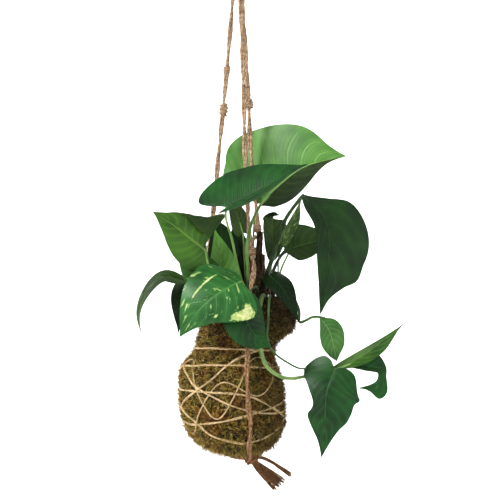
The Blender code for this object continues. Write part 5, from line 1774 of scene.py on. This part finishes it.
@dataclass
class HangerLeg:
    """One leg of the hanger: jute from the top knot, past the crown, over the ball and in to the gather.

    A knot shorter than SMALL_KNOT has two turns, and any other has three.
    """

    node: str
    seed: int
    start: float
    step: float = 2.4
    hair_density: float = 1.5

    SMALL_KNOT = 4.3

    def route(self) -> np.ndarray:
        """The points that the leg goes through."""
        lower = [moss_lifted(LEG_ANGLES[self.node], height, LEG_LIFT) for height in LEG_HEIGHTS]
        return np.array([*LEG_ROUTES[self.node], *lower, *LEG_ENDS[self.node]], float)

    def knots(self, wardrobe: Wardrobe) -> list[bpy.types.Object]:
        """Makes the knots tied in this leg."""
        made = []
        line = self.route()
        for k, (centre, radii) in enumerate(LEG_KNOTS[self.node]):
            nearest = int(np.argmin(np.linalg.norm(line - np.array(centre), axis=1)))
            nearest = min(max(nearest, 1), len(line) - 2)
            axis = tuple(unit(line[nearest + 1] - line[nearest - 1]))
            turns = 2 if radii[2] < self.SMALL_KNOT else 3
            made.append(Knot(f"knot_{self.node}_{k}", centre, radii, axis, turns).build(wardrobe))
        return made

    def lashing(self, wardrobe: Wardrobe) -> bpy.types.Object:
        """Makes the short cord that ties the front leg to the right one."""
        sketch = Sketch()
        jute = Jute(thick=3.0, lay_length=22, hair_reach=0.6)
        line = even_line(LASHING, 1.0)
        jute.yarns(sketch, line)
        jute.hairs(sketch, line, np.random.default_rng(self.seed + 50), 2.0)
        return dress(sketch.build("lashing_of_legs", [wardrobe.get(JUTE_FINISH)]), "jute")

    def build(self, wardrobe: Wardrobe) -> bpy.types.Object:
        """Makes the leg, dressed.

        Args:
            wardrobe: the materials.

        Returns:
            The cord that stands for the leg's node.
        """
        rng = np.random.default_rng(self.seed)
        line = even_line(self.route(), self.step)
        jute = Jute()
        sketch = Sketch()
        jute.yarns(sketch, line, start=self.start)
        jute.hairs(sketch, line, rng, self.hair_density)
        piece = dress(sketch.build("jute_" + self.node, [wardrobe.get(JUTE_FINISH)]), "jute", self.node)
        extras = self.knots(wardrobe)
        if self.node == "leg_front":
            extras.append(self.lashing(wardrobe))
        path = (line - [0, 0, CROWN_BELOW_ORIGIN]) * MM
        length_of(path)
        return piece


@dataclass
class HangingLoop:
    """The loop that goes over a hook, and the knot under it that holds the three legs."""

    node: str = "hanging_loop"
    seed: int = 41

    def build(self, wardrobe: Wardrobe) -> bpy.types.Object:
        """Makes the loop and its knot, dressed.

        Args:
            wardrobe: the materials.

        Returns:
            The piece that stands for the loop's node.
        """
        sketch = Sketch()
        jute = Jute(lay_length=60.0)
        line = even_line([(x, 0.0, z) for x, z in LOOP], 1.4)
        jute.yarns(sketch, line)
        jute.hairs(sketch, line, np.random.default_rng(self.seed), 1.2)
        centre, radii = LOOP_KNOT
        knot = Knot("top_knot", centre, radii, turns=4, yarn=4.2)
        knot.core(sketch)
        knot.coil(sketch)
        crossed = (*radii[:2], 6.4)
        Knot("top_knot_cross", centre, crossed, (1, 0.25, 0.35), turns=1, yarn=4.0).coil(sketch)
        return dress(sketch.build("fine_" + self.node, [wardrobe.get(JUTE_FINISH)]), "jute", self.node)


@dataclass
class Gather:
    """The knot under the ball that ties the legs together, and the frayed tails that hang from it.

    PACKED is how much of a tail's thickness its fibres lie within, and SPREAD is how much further apart they
    are at its cut end.
    """

    node: str = "gather_tassel"
    seed: int = 61
    fibres: int = 46

    PACKED = 0.44
    SPREAD = 0.8

    def tail(self, sketch: Sketch, rng: np.random.Generator, route: Sequence[Point], thick: float) -> None:
        """Adds one tail: fibres that start as one cord and spread towards its cut end.

        Args:
            sketch: what it is added to.
            rng: the source of random numbers.
            route: the points of its centreline.
            thick: its thickness.
        """
        line = even_line(route, 2.5)
        share = np.linspace(0, 1, len(line))
        side, up, _ = frames(line)
        for _ in range(self.fibres):
            angle = rng.uniform(0, 2 * math.pi)
            out = math.sqrt(rng.random()) * thick * self.PACKED
            spread = out * (1 + self.SPREAD * share ** 2.5)
            turn = angle + 2.2 * share + 0.25 * np.sin(7 * share + angle)
            end = max(5, round(len(line) * rng.uniform(0.86, 1.0)))
            fibre = line + side * (spread * np.cos(turn))[:, None] + up * (spread * np.sin(turn))[:, None]
            size = np.linspace(0.42, 0.20, len(line)) * rng.uniform(0.7, 1.3)
            sketch.tube(fibre[:end], size[:end], 5, 0)

    def build(self, wardrobe: Wardrobe) -> bpy.types.Object:
        """Makes the gather and its tails, dressed.

        Args:
            wardrobe: the materials.

        Returns:
            The piece that stands for the gather's node.
        """
        rng = np.random.default_rng(self.seed)
        sketch = Sketch()
        centre, radii = GATHER_KNOT
        knot = Knot("gather", centre, radii, (0.55, 0.1, -0.8), turns=3, yarn=3.2)
        knot.core(sketch)
        knot.coil(sketch)
        for route, thick in TASSEL:
            self.tail(sketch, rng, route, thick)
        return dress(sketch.build("frayed_gather", [wardrobe.get(TASSEL_FINISH)]), "jute", self.node)


@dataclass
class Studio:
    """A plain white room with soft lights, and the camera, level with the middle of the plant."""

    camera_place: Point = (0.0133, -2.1, -0.34645)
    lens: float = 144.0
    floor_below: float = 0.78
    room_radius: float = 4.6
    bend_radius: float = 1.6
    wall_height: float = 3.4
    segments: int = 96
    sky_strength: float = 0.62
    target: Point = (0.02, 0, -0.36)

    def camera(self) -> None:
        """Places the camera."""
        data = bpy.data.cameras.new("camera")
        data.lens = self.lens
        data.sensor_width = 36.0
        data.clip_start, data.clip_end = 0.05, 40.0
        made = bpy.data.objects.new("camera", data)
        made.location = self.camera_place
        made.rotation_euler = (math.pi / 2, 0, 0)
        bpy.context.scene.collection.objects.link(made)
        bpy.context.scene.camera = made

    def room(self) -> None:
        """Makes the floor, which bends up into a wall all round."""
        bend = [(self.room_radius - self.bend_radius + self.bend_radius * math.sin(a),
                 self.bend_radius * (1 - math.cos(a))) for a in np.linspace(0, math.pi / 2, 14)]
        profile = [(1.0, 0.0), (2.0, 0.0), *bend, (self.room_radius, self.wall_height)]
        segments = self.segments
        points = [(0.0, 0.0, -self.floor_below)]
        for radius, height in profile:
            for k in range(segments):
                a = 2 * math.pi * k / segments
                points.append((radius * math.cos(a), radius * math.sin(a), height - self.floor_below))
        faces = [(0, 1 + k, 1 + (k + 1) % segments) for k in range(segments)]
        for ring in range(len(profile) - 1):
            low, high = 1 + ring * segments, 1 + (ring + 1) * segments
            for k in range(segments):
                m = (k + 1) % segments
                faces.append((low + k, high + k, high + m, low + m))
        mesh = bpy.data.meshes.new("room")
        mesh.from_pydata(points, [], faces)
        mesh.polygons.foreach_set("use_smooth", np.ones(len(faces), bool))
        nodes = Nodes("room_paper")
        paper = nodes.noise(nodes.place(), 3.0)
        white = nodes.blend(paper, (0.90, 0.90, 0.90), (0.93, 0.93, 0.93))
        mesh.materials.append(nodes.shade(Base_Color=white, Roughness=0.95, Specular_IOR_Level=0.1))
        made = bpy.data.objects.new("room", mesh)
        bpy.context.scene.collection.objects.link(made)

    def light(self, name: str, place: Point, size: float, power: float, colour: Colour = (1.0, 1.0, 1.0),
              target: Optional[Point] = None) -> None:
        """Adds one soft square light.

        Args:
            name: the light's name.
            place: where it is, in metres.
            size: the length of its side.
            power: its power in watts.
            colour: its colour.
            target: the place that it looks at, if that isn't the plant.
        """
        data = bpy.data.lights.new(name, "AREA")
        data.shape = "SQUARE"
        data.size = size
        data.energy = power
        data.color = colour
        made = bpy.data.objects.new(name, data)
        made.location = place
        made.rotation_mode = "QUATERNION"
        made.rotation_quaternion = (Vector(target or self.target) - Vector(place)).to_track_quat("-Z", "Y")
        bpy.context.scene.collection.objects.link(made)

    def world(self) -> None:
        """Fills the room's open top with an even white sky."""
        world = bpy.data.worlds.new("sky")
        world.use_nodes = True
        sky = world.node_tree.nodes["Background"]
        sky.inputs["Color"].default_value = (1.0, 1.0, 1.0, 1)
        sky.inputs["Strength"].default_value = self.sky_strength
        bpy.context.scene.world = world
        bpy.context.scene.view_settings.view_transform = "Standard"

    def build(self) -> None:
        """Makes the room, the sky and the lights."""
        self.room()
        self.world()
        self.light("key", (-1.5, -1.5, 1.3), 0.8, 64, (1.0, 0.985, 0.96))
        self.light("fill", (1.9, -1.4, 0.2), 1.4, 4, (0.97, 0.99, 1.0))
        self.light("back", (0.4, 2.0, 1.4), 1.4, 10)
        self.light("wall_left", (-1.6, 1.4, 0.2), 1.2, 110, target=(-0.3, 4.6, -0.2))
        self.light("wall_right", (1.6, 1.4, 0.2), 1.2, 110, target=(0.3, 4.6, -0.2))


def corners(box: tuple[Vector, Vector]) -> list[list[float]]:
    """A box's lowest and highest corners as plain lists."""
    return [list(box[0]), list(box[1])]


def main() -> None:
    """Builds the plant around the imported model."""
    logging.basicConfig(level=logging.INFO, format="%(message)s")
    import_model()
    studio = Studio()
    studio.camera()
    wardrobe = Wardrobe()
    for node, seed, start in (("leg_front", 21, 0.2), ("leg_right", 22, 1.2), ("leg_left", 23, 2.1)):
        HangerLeg(node, seed, start).build(wardrobe)
    for part in (HangingLoop(), Gather(), MossBall(), TwineWrap(), OldStems(), *LEAVES, *VINES):
        part.build(wardrobe)
    soil = bpy.data.objects["soil_core"]
    soil.data.materials.clear()
    soil.data.materials.append(wardrobe.get(EarthFinish()))
    studio.build()


if __name__ == "__main__":
    main()
